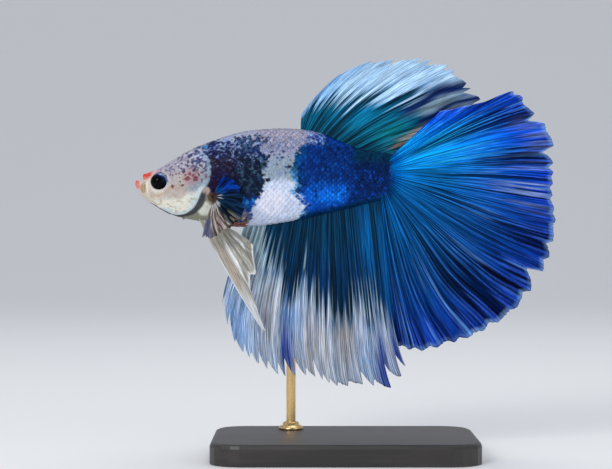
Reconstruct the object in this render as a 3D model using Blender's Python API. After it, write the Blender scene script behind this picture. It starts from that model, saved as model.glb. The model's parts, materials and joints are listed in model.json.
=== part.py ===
"""A life-size halfmoon betta, Betta splendens, on a museum display stand.

The fish faces -X with its left flank towards -Y, and +Z is up. The origin is the centre of the
stand's underside. Lengths in this file are millimetres, and MM turns them into Blender's metres.

The body is modelled whole from its side outline and its width, and is then parted with thin cuts
into head, lower jaw, gill covers, trunk and tail stalk. Each fin is a thin pleated sheet on rays
that run from its base to its tips.
"""

import math

import bmesh
import bpy
from mathutils import Matrix, Vector

MM = 0.001

# Driving dimensions
GAP = 0.3  # between neighbouring pieces
FIN_THICKNESS = 0.6
BODY_SIDES = 24
RINGS_PER_STATION = 2

# Body stations from snout to tail root: place along X, back, belly and half width
BODY_STATIONS = (
    (-34.85, 45.75, 45.45, 0.05),
    (-34.45, 46.30, 44.25, 0.70),
    (-33.60, 46.95, 43.05, 1.20),
    (-32.40, 47.45, 42.10, 1.75),
    (-30.70, 48.30, 41.00, 2.30),
    (-28.50, 49.60, 40.05, 2.85),
    (-25.20, 51.25, 39.25, 3.35),
    (-21.80, 52.60, 38.50, 3.60),
    (-17.30, 54.00, 38.10, 3.60),
    (-12.90, 54.50, 38.45, 3.35),
    (-8.60, 54.55, 39.15, 3.00),
    (-4.80, 54.10, 39.95, 2.65),
    (-1.90, 53.00, 40.65, 2.30),
    (0.80, 51.85, 41.25, 2.00),
    (3.40, 51.05, 41.90, 1.60),
    (5.90, 50.60, 42.50, 1.20),
    (8.10, 50.10, 43.10, 0.80),
)
TAIL_END = 8.45  # the tail stalk's rounded end

# Cuts that part the body, as side-view lines from top to bottom or front to back
NECK_CUT = ((-18.2, 56.0), (-20.5, 45.9), (-23.0, 37.0))
STALK_CUT = ((1.8, 56.0), (3.2, 46.5), (1.8, 37.0))
JAW_CUT = ((-33.95, 46.25), (-33.3, 43.95), (-30.9, 42.7), (-28.6, 41.4), (-27.4, 38.0))
MOUTH_NOTCH = ((-33.5, 45.9), (-33.42, 48.5), (-36.0, 48.5), (-36.0, 46.35))

EYE_CENTRE = (-30.77, 1.55, 45.67)
EYE_RADIUS = 1.38
EYE_DEPTH = 1.15

GILL_CENTRE = (-24.75, 45.0)
GILL_HALF_SIZE = (3.1, 5.0)
GILL_LEAN = math.radians(19)
GILL_THICKNESS = 0.9

# Stand
BASE_SIZE = (44.0, 28.0, 3.5)
BASE_CORNER = 5.0
BASE_CHAMFER = 0.7
ROD_RADIUS = 0.8
ROD_PLACE = (-9.0, 8.5)  # X and Y where it leaves the base, behind the fins
ROD_BEND = 3.5
ROD_HEIGHT = 46.5


# ---------------------------------------------------------------- curves and helpers


def between(keys, share):
    """Catmull-Rom through the keys, which stand evenly along share 0 to 1."""
    place = min(max(share, 0.0), 1.0) * (len(keys) - 1)
    index = min(int(place), len(keys) - 2)
    step = place - index
    rows = [keys[min(max(index + offset, 0), len(keys) - 1)] for offset in (-1, 0, 1, 2)]
    made = []
    for before, start, end, after in zip(*rows):
        bend = 2 * before - 5 * start + 4 * end - after
        twist = 3 * (start - end) + after - before
        made.append(start + 0.5 * step * (end - before + step * (bend + step * twist)))
    return made


def outline_height(x, column):
    """Back (column 1) or belly (column 2) of the body at a place along X."""
    low, high = 0.0, 1.0
    for _ in range(30):
        middle = (low + high) / 2
        if between(BODY_STATIONS, middle)[0] < x:
            low = middle
        else:
            high = middle
    return between(BODY_STATIONS, low)[column]


def chance(number):
    """A repeatable number from 0 to 1 for each whole number."""
    return (math.sin(number * 12.9898 + 4.1414) * 43758.5453) % 1.0


def material(name, colour, roughness, metallic=0.0):
    made = bpy.data.materials.new(name)
    made.use_nodes = True
    shader = made.node_tree.nodes["Principled BSDF"]
    shader.inputs["Base Color"].default_value = (*colour, 1.0)
    shader.inputs["Roughness"].default_value = roughness
    shader.inputs["Metallic"].default_value = metallic
    return made


def node(name, mesh, finish, parent, origin=(0.0, 0.0, 0.0)):
    """A named object whose mesh, given in place in millimetres, is moved to its own origin."""
    place = Vector(origin)
    mesh.transform(Matrix.Scale(MM, 4) @ Matrix.Translation(-place))
    made = bpy.data.objects.new(name, mesh)
    made.location = place * MM
    made.parent = parent
    mesh.materials.clear()
    mesh.materials.append(finish)
    bpy.context.collection.objects.link(made)
    return made


def mesh_of(bm, name):
    bmesh.ops.recalc_face_normals(bm, faces=bm.faces)
    if bm.calc_volume(signed=True) < 0.0:
        bmesh.ops.reverse_faces(bm, faces=bm.faces)
    mesh = bpy.data.meshes.new(name)
    bm.to_mesh(mesh)
    bm.free()
    mesh.shade_smooth()
    mesh.set_sharp_from_angle(angle=math.radians(50))
    return mesh


def carved(mesh, *steps):
    """The mesh after Boolean steps of (operation, cutter mesh), worked out in millimetres."""
    work = bpy.data.objects.new("work", mesh)
    bpy.context.collection.objects.link(work)
    cutters = []
    for operation, cutter_mesh in steps:
        cutter = bpy.data.objects.new("cutter", cutter_mesh)
        cutter.hide_render = True
        cutter.display_type = "WIRE"
        bpy.context.collection.objects.link(cutter)
        step = work.modifiers.new(operation.lower(), "BOOLEAN")
        step.operation = operation
        step.object = cutter
        cutters.append(cutter)
    graph = bpy.context.evaluated_depsgraph_get()
    made = bpy.data.meshes.new_from_object(work.evaluated_get(graph))
    for helper in (work, *cutters):
        bpy.data.objects.remove(helper)
    return made


# ---------------------------------------------------------------- body


def body_mesh(inset=0.0):
    """The whole body, or its core when it is inset: a globe whose rings become the stations."""
    rings = (len(BODY_STATIONS) - 1) * RINGS_PER_STATION + 1
    bm = bmesh.new()
    bmesh.ops.create_uvsphere(bm, u_segments=BODY_SIDES, v_segments=rings + 1, radius=1.0)
    for vertex in bm.verts:
        ring = round(math.acos(max(-1.0, min(1.0, vertex.co.z))) / math.pi * (rings + 1))
        share = (min(max(ring, 1), rings) - 1) / (rings - 1)
        x, back, belly, half_width = between(BODY_STATIONS, share)
        middle = (back + belly) / 2
        half_height = max((back - belly) / 2 - inset, 0.02)
        half_width = max(half_width - inset, 0.02)
        around = math.atan2(vertex.co.y, vertex.co.x)
        spread = 0.0 if ring in (0, rings + 1) else 1.0
        if ring == rings + 1:
            x = TAIL_END
        elif ring == 0:
            x -= 0.02
        vertex.co = (
            x,
            spread * half_width * math.cos(around),
            middle + spread * half_height * math.sin(around),
        )
    return mesh_of(bm, "body")


def slab(line, thickness, reach=6.0):
    """A thin plate that follows a side-view line and runs right across the fish."""
    bm = bmesh.new()
    near = [bm.verts.new((x, -reach, z)) for x, z in line]
    edges = [bm.edges.new(pair) for pair in zip(near, near[1:])]
    grown = bmesh.ops.extrude_edge_only(bm, edges=edges)["geom"]
    far = [item for item in grown if isinstance(item, bmesh.types.BMVert)]
    bmesh.ops.translate(bm, verts=far, vec=(0.0, 2 * reach, 0.0))
    bmesh.ops.recalc_face_normals(bm, faces=bm.faces)
    bmesh.ops.solidify(bm, geom=bm.faces[:], thickness=thickness)
    return mesh_of(bm, "slab")


def prism(outline, low, high):
    """A side-view outline, extruded along Y from low to high."""
    bm = bmesh.new()
    face = bm.faces.new([bm.verts.new((x, low, z)) for x, z in outline])
    grown = bmesh.ops.extrude_face_region(bm, geom=[face])["geom"]
    far = [item for item in grown if isinstance(item, bmesh.types.BMVert)]
    bmesh.ops.translate(bm, verts=far, vec=(0.0, high - low, 0.0))
    return mesh_of(bm, "prism")


def ball(centre, radii, segments=14, rings=8):
    bm = bmesh.new()
    bmesh.ops.create_uvsphere(bm, u_segments=segments, v_segments=rings, radius=1.0)
    bmesh.ops.transform(
        bm,
        matrix=Matrix.Translation(centre) @ Matrix.Diagonal((*radii, 1.0)),
        verts=bm.verts,
    )
    return mesh_of(bm, "ball")


def gill_outline(grow, points=20):
    """A leaning ellipse, the rim of the gill cover."""
    made = []
    for index in range(points):
        angle = 2 * math.pi * index / points
        across = (GILL_HALF_SIZE[0] + grow) * math.cos(angle)
        up = (GILL_HALF_SIZE[1] + grow) * math.sin(angle)
        made.append(
            (
                GILL_CENTRE[0] + across * math.cos(GILL_LEAN) + up * math.sin(GILL_LEAN),
                GILL_CENTRE[1] - across * math.sin(GILL_LEAN) + up * math.cos(GILL_LEAN),
            )
        )
    return made


def gill_block(side, grow, depth):
    """The space of one gill cover: inside its rim, and outside the head's core."""
    ends = sorted((side * 0.6, side * 7.0))
    return carved(prism(gill_outline(grow), *ends), ("DIFFERENCE", body_mesh(depth)))


def parted(mesh, line):
    """The two pieces that a thin cut along a line makes, the front one first."""
    whole = bmesh.new()
    whole.from_mesh(carved(mesh, ("DIFFERENCE", slab(line, GAP))))
    whole.verts.index_update()
    whole.verts.ensure_lookup_table()
    joined = {0}
    front = [whole.verts[0]]
    while front:
        for edge in front.pop().link_edges:
            for vertex in edge.verts:
                if vertex.index not in joined:
                    joined.add(vertex.index)
                    front.append(vertex)
    made = []
    for keep in (True, False):
        piece = whole.copy()
        piece.verts.index_update()
        spare = [vertex for vertex in piece.verts if (vertex.index in joined) != keep]
        bmesh.ops.delete(piece, geom=spare, context="VERTS")
        foremost = min(vertex.co.x for vertex in piece.verts)
        made.append((foremost, mesh_of(piece, "piece")))
    whole.free()
    made.sort(key=lambda pair: pair[0])
    return made[0][1], made[1][1]


def make_body(fish, finishes):
    steps = [("DIFFERENCE", prism(MOUTH_NOTCH, -3.0, 3.0))]
    for side in (-1, 1):
        steps.append(("DIFFERENCE", gill_block(side, GAP, GILL_THICKNESS + GAP)))
        socket = (EYE_CENTRE[0], side * EYE_CENTRE[1], EYE_CENTRE[2])
        radii = (EYE_RADIUS + GAP, EYE_DEPTH + GAP, EYE_RADIUS + GAP)
        steps.append(("DIFFERENCE", ball(socket, radii)))
    fore, rear = parted(carved(body_mesh(), *steps), NECK_CUT)
    jaw, head = parted(fore, JAW_CUT)
    trunk, stalk = parted(rear, STALK_CUT)
    node("jaw_lower", jaw, finishes["jaw_lower"], fish, (-32.0, 0.0, 43.0))
    node("head", head, finishes["head"], fish, (-27.0, 0.0, 47.0))
    node("trunk", trunk, finishes["trunk"], fish, (-9.0, 0.0, 46.5))
    node("tail_stalk", stalk, finishes["tail_stalk"], fish, (5.5, 0.0, 46.5))


def make_gill_covers(fish, finish):
    for side, name in ((-1, "gill_cover_left"), (1, "gill_cover_right")):
        mesh = carved(gill_block(side, 0.0, GILL_THICKNESS), ("INTERSECT", body_mesh()))
        node(name, mesh, finish, fish, (GILL_CENTRE[0], side * 3.0, GILL_CENTRE[1]))


def make_eyes(fish, finish):
    for side, name in ((-1, "eye_left"), (1, "eye_right")):
        centre = (EYE_CENTRE[0], side * EYE_CENTRE[1], EYE_CENTRE[2])
        mesh = ball(centre, (EYE_RADIUS, EYE_DEPTH, EYE_RADIUS))
        node(name, mesh, finish, fish, centre)


# ---------------------------------------------------------------- fins


class Fin:
    """A sheet on rays. The tips are keys of X, Z, bow and lean: bow is how far a ray bulges
    sideways in its length, and lean is how far the tip stands off the fish's middle plane."""

    def __init__(self, root, tips, teeth, notch, notch_at, pleats, pleat_depth, first_tooth=0.0):
        self.root = root
        self.tips = tips
        self.teeth = teeth
        self.notch = notch
        self.notch_at = notch_at
        self.pleats = pleats
        self.pleat_depth = pleat_depth
        self.first_tooth = first_tooth

    def edge(self, across):
        """How much of the full length the sheet has here: 1 at a ray's tip, less between."""
        place = across * self.teeth
        tooth = math.floor(place + 1e-6)
        part = max(place - tooth, 0.0)
        if part < self.notch_at:
            cut = part / self.notch_at
        else:
            cut = (1.0 - part) / (1.0 - self.notch_at)
        depth = self.notch * (0.55 + 0.9 * chance(tooth))
        depth *= min(max((across - self.first_tooth) * 8.0, 0.0), 1.0)
        return 1.0 - depth * cut**1.4

    def point(self, across, along):
        """A point of the middle sheet: across runs from first to last ray, along from root."""
        root_x, root_y, root_z = self.root(across)
        tip_x, tip_z, bow, lean = between(self.tips, across)
        run_x, run_z = tip_x - root_x, tip_z - root_z
        reach = along * self.edge(across) if along > 0.0 else along
        bulge = 2 * reach * (1 - reach) * bow
        pleat = math.cos(2 * math.pi * self.pleats * across) * self.pleat_depth
        return Vector(
            (
                root_x + run_x * reach - run_z * bulge,
                root_y + lean * reach + pleat * reach**1.3,
                root_z + run_z * reach + run_x * bulge,
            )
        )


def dorsal_root(across):
    x = -7.3 + 12.6 * across**1.75
    return x, 0.0, outline_height(x, 1) + GAP


def anal_root(across):
    x = -16.9 + 22.9 * across
    return x, 0.0, outline_height(x, 2) - GAP


def caudal_root(across):
    """A shallow arc round the end of the tail stalk."""
    start, middle, end = (8.95, 50.0), (9.75, 46.6), (8.2, 42.75)
    rest = 1.0 - across
    return (
        rest * rest * start[0] + 2 * rest * across * middle[0] + across * across * end[0],
        0.0,
        rest * rest * start[1] + 2 * rest * across * middle[1] + across * across * end[1],
    )


def pelvic_root(side):
    def root(across):
        x = -23.0 + 2.6 * across
        return x, side * 1.15, outline_height(x, 2) - 0.45

    return root


def pectoral_root(side):
    def root(across):
        turn = math.radians(60 - 150 * across)
        return -21.75 + 0.55 * math.cos(turn), side * 4.2, 43.1 + 0.85 * math.sin(turn)

    return root


def mirrored(tips):
    return tuple((x, z, bow, -lean) for x, z, bow, lean in tips)


DORSAL_TIPS = (
    (-7.20, 57.0, 0.02, 0.0),
    (-4.70, 60.0, 0.10, -0.1),
    (-0.70, 63.6, 0.13, -0.3),
    (4.60, 65.8, 0.13, -0.2),
    (8.60, 66.0, 0.12, 0.2),
    (12.90, 66.3, 0.11, 0.5),
    (17.40, 65.1, 0.10, 0.7),
    (21.10, 61.4, 0.08, 1.1),
    (22.80, 59.4, 0.05, 1.6),
    (20.40, 55.2, 0.02, 2.3),
    (16.50, 52.8, 0.00, 2.6),
)
ANAL_TIPS = (
    (-20.40, 25.0, -0.02, 0.2),
    (-18.00, 19.2, -0.04, -0.4),
    (-14.40, 16.0, -0.06, 0.3),
    (-10.10, 13.7, -0.06, 0.5),
    (-5.60, 13.4, -0.05, -0.2),
    (-1.10, 12.0, -0.03, -0.6),
    (3.60, 12.1, -0.02, 0.1),
    (7.90, 11.5, -0.03, -0.7),
    (10.60, 18.0, -0.03, -1.9),
)
CAUDAL_TIPS = (
    (16.10, 57.40, 0.00, -1.8),
    (22.75, 59.30, 0.02, -2.0),
    (28.00, 60.60, 0.02, -1.5),
    (30.90, 57.00, 0.02, -0.6),
    (34.20, 53.00, 0.02, 0.6),
    (34.50, 47.60, 0.01, 1.0),
    (34.70, 42.60, 0.00, 0.4),
    (35.10, 37.80, 0.00, -0.6),
    (33.20, 32.30, 0.00, -1.1),
    (30.00, 27.20, -0.01, -0.5),
    (24.70, 22.20, -0.01, 0.6),
    (18.50, 19.20, -0.02, 1.4),
    (13.20, 17.70, -0.03, 1.7),
    (8.90, 18.30, -0.03, 1.5),
)
PELVIC_LEFT_TIPS = (
    (-13.25, 20.60, -0.10, -1.9),
    (-13.20, 21.20, -0.08, -1.7),
    (-14.60, 25.20, -0.06, -1.6),
    (-15.90, 29.20, -0.03, -1.5),
    (-15.00, 29.90, 0.02, -1.4),
    (-16.90, 35.60, 0.04, -1.1),
)
PELVIC_RIGHT_TIPS = (
    (-15.90, 24.40, -0.10, -1.9),
    (-15.80, 25.00, -0.08, -1.7),
    (-16.50, 27.40, -0.06, -1.6),
    (-17.10, 29.60, -0.03, -1.5),
    (-16.60, 30.60, 0.02, -1.4),
    (-17.80, 35.30, 0.04, -1.1),
)
PECTORAL_TIPS = (
    (-20.10, 46.30, 0.04, -0.7),
    (-18.90, 46.30, 0.06, -1.2),
    (-17.40, 45.00, 0.06, -1.9),
    (-15.60, 42.60, 0.05, -2.5),
    (-14.80, 39.60, 0.02, -2.6),
    (-17.00, 38.40, -0.02, -1.9),
    (-19.80, 37.60, -0.04, -1.2),
    (-21.60, 36.30, -0.05, -0.8),
    (-23.45, 36.40, -0.06, -0.6),
)


def fin_shapes():
    """Every fin by its node name."""
    return {
        "fin_dorsal": Fin(dorsal_root, DORSAL_TIPS, 20, 0.085, 0.22, 5, 0.35, first_tooth=0.12),
        "fin_anal": Fin(anal_root, ANAL_TIPS, 26, 0.075, 0.25, 7, 0.45),
        "fin_caudal": Fin(caudal_root, CAUDAL_TIPS, 28, 0.028, 0.40, 9, 0.60),
        "fin_pelvic_left": Fin(
            pelvic_root(-1), PELVIC_LEFT_TIPS, 5, 0.02, 0.5, 1.5, 0.15
        ),
        "fin_pelvic_right": Fin(
            pelvic_root(1), mirrored(PELVIC_RIGHT_TIPS), 5, 0.02, 0.5, 1.5, 0.15
        ),
        "fin_pectoral_left": Fin(
            pectoral_root(-1), PECTORAL_TIPS, 11, 0.045, 0.5, 3, 0.12
        ),
        "fin_pectoral_right": Fin(
            pectoral_root(1), mirrored(PECTORAL_TIPS), 11, 0.045, 0.5, 3, 0.12
        ),
    }


FIN_GRIDS = {  # columns for each tooth, and rows from root to tip
    "fin_dorsal": (2, 5),
    "fin_anal": (2, 6),
    "fin_caudal": (2, 6),
    "fin_pelvic_left": (2, 7),
    "fin_pelvic_right": (2, 7),
    "fin_pectoral_left": (2, 4),
    "fin_pectoral_right": (2, 4),
}


def fin_mesh(fin, per_tooth, rows):
    """A grid laid on the rays, then thickened sideways into one closed sheet."""
    columns = fin.teeth * per_tooth
    bm = bmesh.new()
    bmesh.ops.create_grid(bm, x_segments=columns, y_segments=rows, size=0.5)
    for vertex in bm.verts:
        column = round((vertex.co.x + 0.5) * columns)
        tooth, part = divmod(column, per_tooth)
        share = part / per_tooth if per_tooth > 2 else part * fin.notch_at
        point = fin.point((tooth + share) / fin.teeth, vertex.co.y + 0.5)
        vertex.co = point - Vector((0.0, FIN_THICKNESS / 2, 0.0))
    grown = bmesh.ops.extrude_face_region(bm, geom=bm.faces[:])["geom"]
    far = [item for item in grown if isinstance(item, bmesh.types.BMVert)]
    bmesh.ops.translate(bm, verts=far, vec=(0.0, FIN_THICKNESS, 0.0))
    return mesh_of(bm, "fin")


def make_fins(fish, finishes):
    for name, fin in fin_shapes().items():
        mesh = fin_mesh(fin, *FIN_GRIDS[name])
        node(name, mesh, finishes[name], fish, fin.root(0.5))


# ---------------------------------------------------------------- stand


def make_base(parent, finish):
    length, depth, height = BASE_SIZE
    corners = [
        (
            side_x * (length / 2 - BASE_CORNER) + BASE_CORNER * math.cos(turn),
            side_y * (depth / 2 - BASE_CORNER) + BASE_CORNER * math.sin(turn),
        )
        for side_x, side_y, first in ((1, 1, 0), (-1, 1, 90), (-1, -1, 180), (1, -1, 270))
        for turn in (math.radians(first + 18 * step) for step in range(6))
    ]
    bm = bmesh.new()
    face = bm.faces.new([bm.verts.new((x, y, 0.0)) for x, y in corners])
    grown = bmesh.ops.extrude_face_region(bm, geom=[face])["geom"]
    top = [item for item in grown if isinstance(item, bmesh.types.BMVert)]
    bmesh.ops.translate(bm, verts=top, vec=(0.0, 0.0, height))
    rim = [edge for edge in bm.edges if all(vertex in top for vertex in edge.verts)]
    bmesh.ops.bevel(
        bm, geom=rim, offset=BASE_CHAMFER, segments=2, profile=0.5, affect="EDGES", material=-1
    )
    node("stand_base", mesh_of(bm, "base"), finish, parent)


def tube(route, radius, sides=12):
    """A round rod along a route that lies across the fish: a grid, rolled up and capped."""
    bm = bmesh.new()
    last = len(route) - 1
    bmesh.ops.create_grid(bm, x_segments=sides, y_segments=last, size=0.5)
    for vertex in bm.verts:
        index = round((vertex.co.y + 0.5) * last)
        turn = 2 * math.pi * (vertex.co.x + 0.5)
        before = Vector(route[max(index - 1, 0)])
        after = Vector(route[min(index + 1, last)])
        upward = (after - before).normalized().cross((1.0, 0.0, 0.0))
        out = Vector((math.cos(turn), 0.0, 0.0)) + math.sin(turn) * upward
        vertex.co = Vector(route[index]) + radius * out
    bmesh.ops.remove_doubles(bm, verts=bm.verts, dist=0.01)
    bmesh.ops.holes_fill(bm, edges=bm.edges)
    return mesh_of(bm, "tube")


def make_rod(parent, finish):
    """A bent rod: up from the base behind the fins, then over to the far flank."""
    x, y = ROD_PLACE
    flank = 3.0 + GAP
    route = [(x, y, BASE_SIZE[2] + GAP)]
    for step in range(9):
        turn = math.radians(90 * step / 8)
        inward = ROD_BEND * (1.0 - math.cos(turn))
        upward = ROD_HEIGHT - ROD_BEND * (1.0 - math.sin(turn))
        route.append((x, y - inward, upward))
    route.append((x, flank, ROD_HEIGHT))
    node("stand_rod", tube(route, ROD_RADIUS), finish, parent, route[0])


def main():
    for old in list(bpy.data.objects):
        bpy.data.objects.remove(old)
    fish = bpy.data.objects.new("betta", None)
    stand = bpy.data.objects.new("stand", None)
    for empty in (fish, stand):
        bpy.context.collection.objects.link(empty)

    pale = material("pale skin", (0.80, 0.72, 0.74), 0.4)
    marbled = material("marbled scales", (0.30, 0.32, 0.62), 0.35, 0.2)
    royal = material("royal blue scales", (0.02, 0.11, 0.62), 0.3, 0.4)
    blue_fin = material("blue fin", (0.01, 0.16, 0.70), 0.35, 0.3)
    white_fin = material("pale fin", (0.72, 0.78, 0.90), 0.4)
    cream_fin = material("cream fin", (0.85, 0.78, 0.70), 0.4)
    eye = material("eye", (0.01, 0.01, 0.03), 0.05)
    wood = material("black wood", (0.03, 0.025, 0.02), 0.4)
    brass = material("brass", (0.75, 0.58, 0.28), 0.25, 1.0)

    body = {"jaw_lower": pale, "head": pale, "trunk": marbled, "tail_stalk": royal}
    make_body(fish, body)
    make_gill_covers(fish, pale)
    make_eyes(fish, eye)
    make_fins(
        fish,
        {
            "fin_dorsal": white_fin,
            "fin_anal": white_fin,
            "fin_caudal": blue_fin,
            "fin_pelvic_left": cream_fin,
            "fin_pelvic_right": cream_fin,
            "fin_pectoral_left": blue_fin,
            "fin_pectoral_right": blue_fin,
        },
    )
    make_base(stand, wood)
    make_rod(stand, brass)


main()
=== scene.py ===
# %% [markdown]
# # A halfmoon betta on its display stand
#
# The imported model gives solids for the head, trunk, tail stalk, fins, eyes and stand. This lesson
# lays the looks over them: one skin, a coat of scales, seven pleated fins, two eyes and a stand.
# All lengths are typed in millimetres and turned into metres where a mesh becomes an object.

import json
import math

import bmesh
import bpy
import numpy as np
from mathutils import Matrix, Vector

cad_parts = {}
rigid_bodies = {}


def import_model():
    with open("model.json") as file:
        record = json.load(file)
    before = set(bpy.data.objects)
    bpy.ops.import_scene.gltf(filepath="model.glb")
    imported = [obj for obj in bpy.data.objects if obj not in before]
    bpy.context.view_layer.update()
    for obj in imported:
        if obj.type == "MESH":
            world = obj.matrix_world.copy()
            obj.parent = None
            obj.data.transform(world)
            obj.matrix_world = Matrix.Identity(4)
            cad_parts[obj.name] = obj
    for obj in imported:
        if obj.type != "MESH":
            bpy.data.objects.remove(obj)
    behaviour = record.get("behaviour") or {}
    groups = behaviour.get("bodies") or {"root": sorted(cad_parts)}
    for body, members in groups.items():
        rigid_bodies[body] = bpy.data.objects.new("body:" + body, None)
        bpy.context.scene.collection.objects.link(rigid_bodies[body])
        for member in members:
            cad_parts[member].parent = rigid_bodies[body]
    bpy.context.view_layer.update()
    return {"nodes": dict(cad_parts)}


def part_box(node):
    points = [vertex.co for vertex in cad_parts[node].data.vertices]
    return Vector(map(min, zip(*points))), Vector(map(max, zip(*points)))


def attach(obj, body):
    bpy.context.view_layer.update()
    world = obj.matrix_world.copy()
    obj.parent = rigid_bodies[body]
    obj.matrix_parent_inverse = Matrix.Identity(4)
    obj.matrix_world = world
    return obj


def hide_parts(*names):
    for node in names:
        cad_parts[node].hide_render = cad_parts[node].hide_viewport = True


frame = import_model()
MM = 0.001
print("nodes in the frame:", len(frame["nodes"]))

# %% [markdown]
# ## Small tools for shapes
#
# A fish has hardly a straight line, so most of its parts are smooth functions: a few named
# stations and a curve through them. They could be drawn by hand with spline objects, but numpy
# arrays let one short formula move a hundred thousand points at once.


# %% Curves, blends and grain
def smooth(low, high, value):
    """0 below low, 1 above high, and an even S between them."""
    share = np.clip((np.asarray(value, float) - low) / (high - low), 0.0, 1.0)
    return share * share * (3.0 - 2.0 * share)


def through(keys, share):
    """A smooth curve through evenly spaced keys, for share from 0 to 1."""
    keys = np.asarray(keys, float)
    place = np.clip(share, 0.0, 1.0) * (len(keys) - 1)
    index = np.minimum(np.floor(place).astype(int), len(keys) - 2)
    step = (place - index)[..., None]
    before, start, end, after = (
        keys[np.clip(index + offset, 0, len(keys) - 1)] for offset in (-1, 0, 1, 2)
    )
    bend = 2 * before - 5 * start + 4 * end - after
    twist = 3 * (start - end) + after - before
    return start + 0.5 * step * (end - before + step * (bend + step * twist))


def chance(*numbers):
    """A repeatable number from 0 to 1 for each set of numbers."""
    total = sum(n * w for n, w in zip(numbers, (12.9898, 78.233, 37.719, 5.117)))
    return np.mod(np.sin(total + 4.1414) * 43758.5453, 1.0)


def grain(x, y, z, size, seed=0.0):
    """Soft random cloud from 0 to 1, whose lumps are about size across."""
    spots = [np.asarray(axis, float) / size for axis in (x, y, z)]
    floors = [np.floor(axis) for axis in spots]
    parts = [axis - floor for axis, floor in zip(spots, floors)]
    parts = [part * part * (3.0 - 2.0 * part) for part in parts]
    total = 0.0
    for corner in range(8):
        steps = [(corner >> bit) & 1 for bit in range(3)]
        weight = 1.0
        for part, step in zip(parts, steps):
            weight = weight * (part if step else 1.0 - part)
        total = total + weight * chance(*(f + s for f, s in zip(floors, steps)), seed)
    return total


def blend_to(colour, tone, share):
    """Colours moved towards a tone, or towards other colours, by a share for each point."""
    return colour + (np.asarray(tone, float) - colour) * np.clip(share, 0.0, 1.0)[..., None]


print("grain of a point:", float(grain(0.3, 0.2, 0.1, 1.0)))


# %% Distance from a line drawn on the fish's side
def off_line(line, x, z):
    """Distance in the side view from a line of points, above 0 on its left as it is followed."""
    nearest = np.full(np.shape(x), 1e9)
    signed = np.zeros(np.shape(x))
    for (ax, az), (bx, bz) in zip(line, line[1:]):
        run, rise = bx - ax, bz - az
        share = np.clip(((x - ax) * run + (z - az) * rise) / (run * run + rise * rise), 0, 1)
        apart = np.hypot(x - ax - share * run, z - az - share * rise)
        side = np.sign(run * (z - az) - rise * (x - ax))
        closer = apart < nearest
        nearest = np.where(closer, apart, nearest)
        signed = np.where(closer, apart * side, signed)
    return signed


def spot(x, z, place, radius):
    """1 inside a round spot on the side, fading over its rim."""
    return 1.0 - smooth(radius * 0.75, radius * 1.2, np.hypot(x - place[0], z - place[1]))


print("3 mm to the left of a line:", off_line(((0, 0), (0, 10)), np.array([-3.0]), 5.0))

# %% [markdown]
# ## The body's shape
#
# The body is one tube. Each ring is given by its top, its side and its lowest point and by its
# half width. The first rings lie inside the mouth, so the lips are a fold of the same skin. A
# tube of this kind could be sculpted by hand, but rings keep both flanks equal and let the
# scales find their places by the same two numbers, share along and turn around.

# %% Rings from inside the mouth to the tail root
RINGS = (
    # top x, z      side x, z       low x, z        half width
    (-32.30, 45.60, -32.30, 45.55, -32.30, 45.50, 0.02),
    (-32.75, 46.05, -32.70, 45.68, -33.15, 45.42, 0.60),
    (-33.30, 46.30, -33.15, 45.60, -34.20, 45.74, 1.00),
    (-33.56, 46.58, -33.28, 45.42, -34.72, 45.88, 1.24),
    (-33.40, 46.90, -33.05, 45.00, -34.78, 45.22, 1.42),
    (-32.95, 47.08, -32.72, 44.66, -34.60, 44.60, 1.54),
    (-32.40, 47.30, -32.20, 44.60, -34.18, 43.92, 1.76),
    (-31.55, 47.66, -31.40, 44.70, -33.42, 43.06, 2.06),
    (-30.50, 48.12, -30.40, 44.90, -32.30, 42.18, 2.36),
    (-29.40, 48.80, -29.30, 45.00, -30.90, 41.26, 2.66),
    (-28.00, 49.70, -27.90, 45.10, -29.20, 40.38, 2.92),
    (-26.20, 50.68, -26.20, 45.20, -27.10, 39.68, 3.18),
    (-24.00, 51.66, -24.00, 45.35, -24.60, 39.20, 3.38),
    (-21.80, 52.50, -21.80, 45.55, -21.90, 38.60, 3.50),
    (-17.30, 53.90, -17.30, 46.05, -17.30, 38.20, 3.50),
    (-12.90, 54.40, -12.90, 46.45, -12.90, 38.55, 3.25),
    (-8.60, 54.45, -8.60, 46.85, -8.60, 39.25, 2.90),
    (-4.80, 54.00, -4.80, 47.00, -4.80, 40.05, 2.55),
    (-1.90, 52.90, -1.90, 46.80, -1.90, 40.75, 2.20),
    (0.80, 51.75, 0.80, 46.55, 0.80, 41.35, 1.90),
    (3.40, 50.95, 3.40, 46.45, 3.40, 42.00, 1.50),
    (5.90, 50.60, 5.90, 46.55, 5.90, 42.60, 0.90),
    (7.90, 50.30, 8.10, 46.60, 7.60, 43.10, 0.40),
    (8.50, 50.00, 8.90, 46.60, 8.20, 43.50, 0.16),
    (9.20, 46.70, 9.20, 46.60, 9.20, 46.50, 0.02),
)
# Turn is spread evenly along the outline of a ring of the trunk.
TRUNK_HALF_WIDTH = 3.4
TRUNK_HALF_HEIGHT = 7.8
BELLY, FLANK, BACK = 0.0, 0.25, 0.5
ANGLES = np.linspace(-0.5 * math.pi, 1.5 * math.pi, 721)
ARC = np.hypot(TRUNK_HALF_WIDTH * np.sin(ANGLES), TRUNK_HALF_HEIGHT * np.cos(ANGLES))
ARC = np.concatenate(([0.0], np.cumsum(0.5 * (ARC[1:] + ARC[:-1]))))
ARC = ARC / ARC[-1]


def ring_point(share, turn):
    """A point of the plain body in millimetres, at a share of its length and a turn round it."""
    top_x, top_z, side_x, side_z, low_x, low_z, half = np.moveaxis(through(RINGS, share), -1, 0)
    angle = np.interp(turn, ARC, ANGLES)
    rise = np.sin(angle)
    above, below = np.maximum(rise, 0.0), np.maximum(-rise, 0.0)
    x = side_x + (top_x - side_x) * above + (low_x - side_x) * below
    z = side_z + (top_z - side_z) * above + (low_z - side_z) * below
    return np.stack([x, half * np.cos(angle), z], axis=-1)


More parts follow.
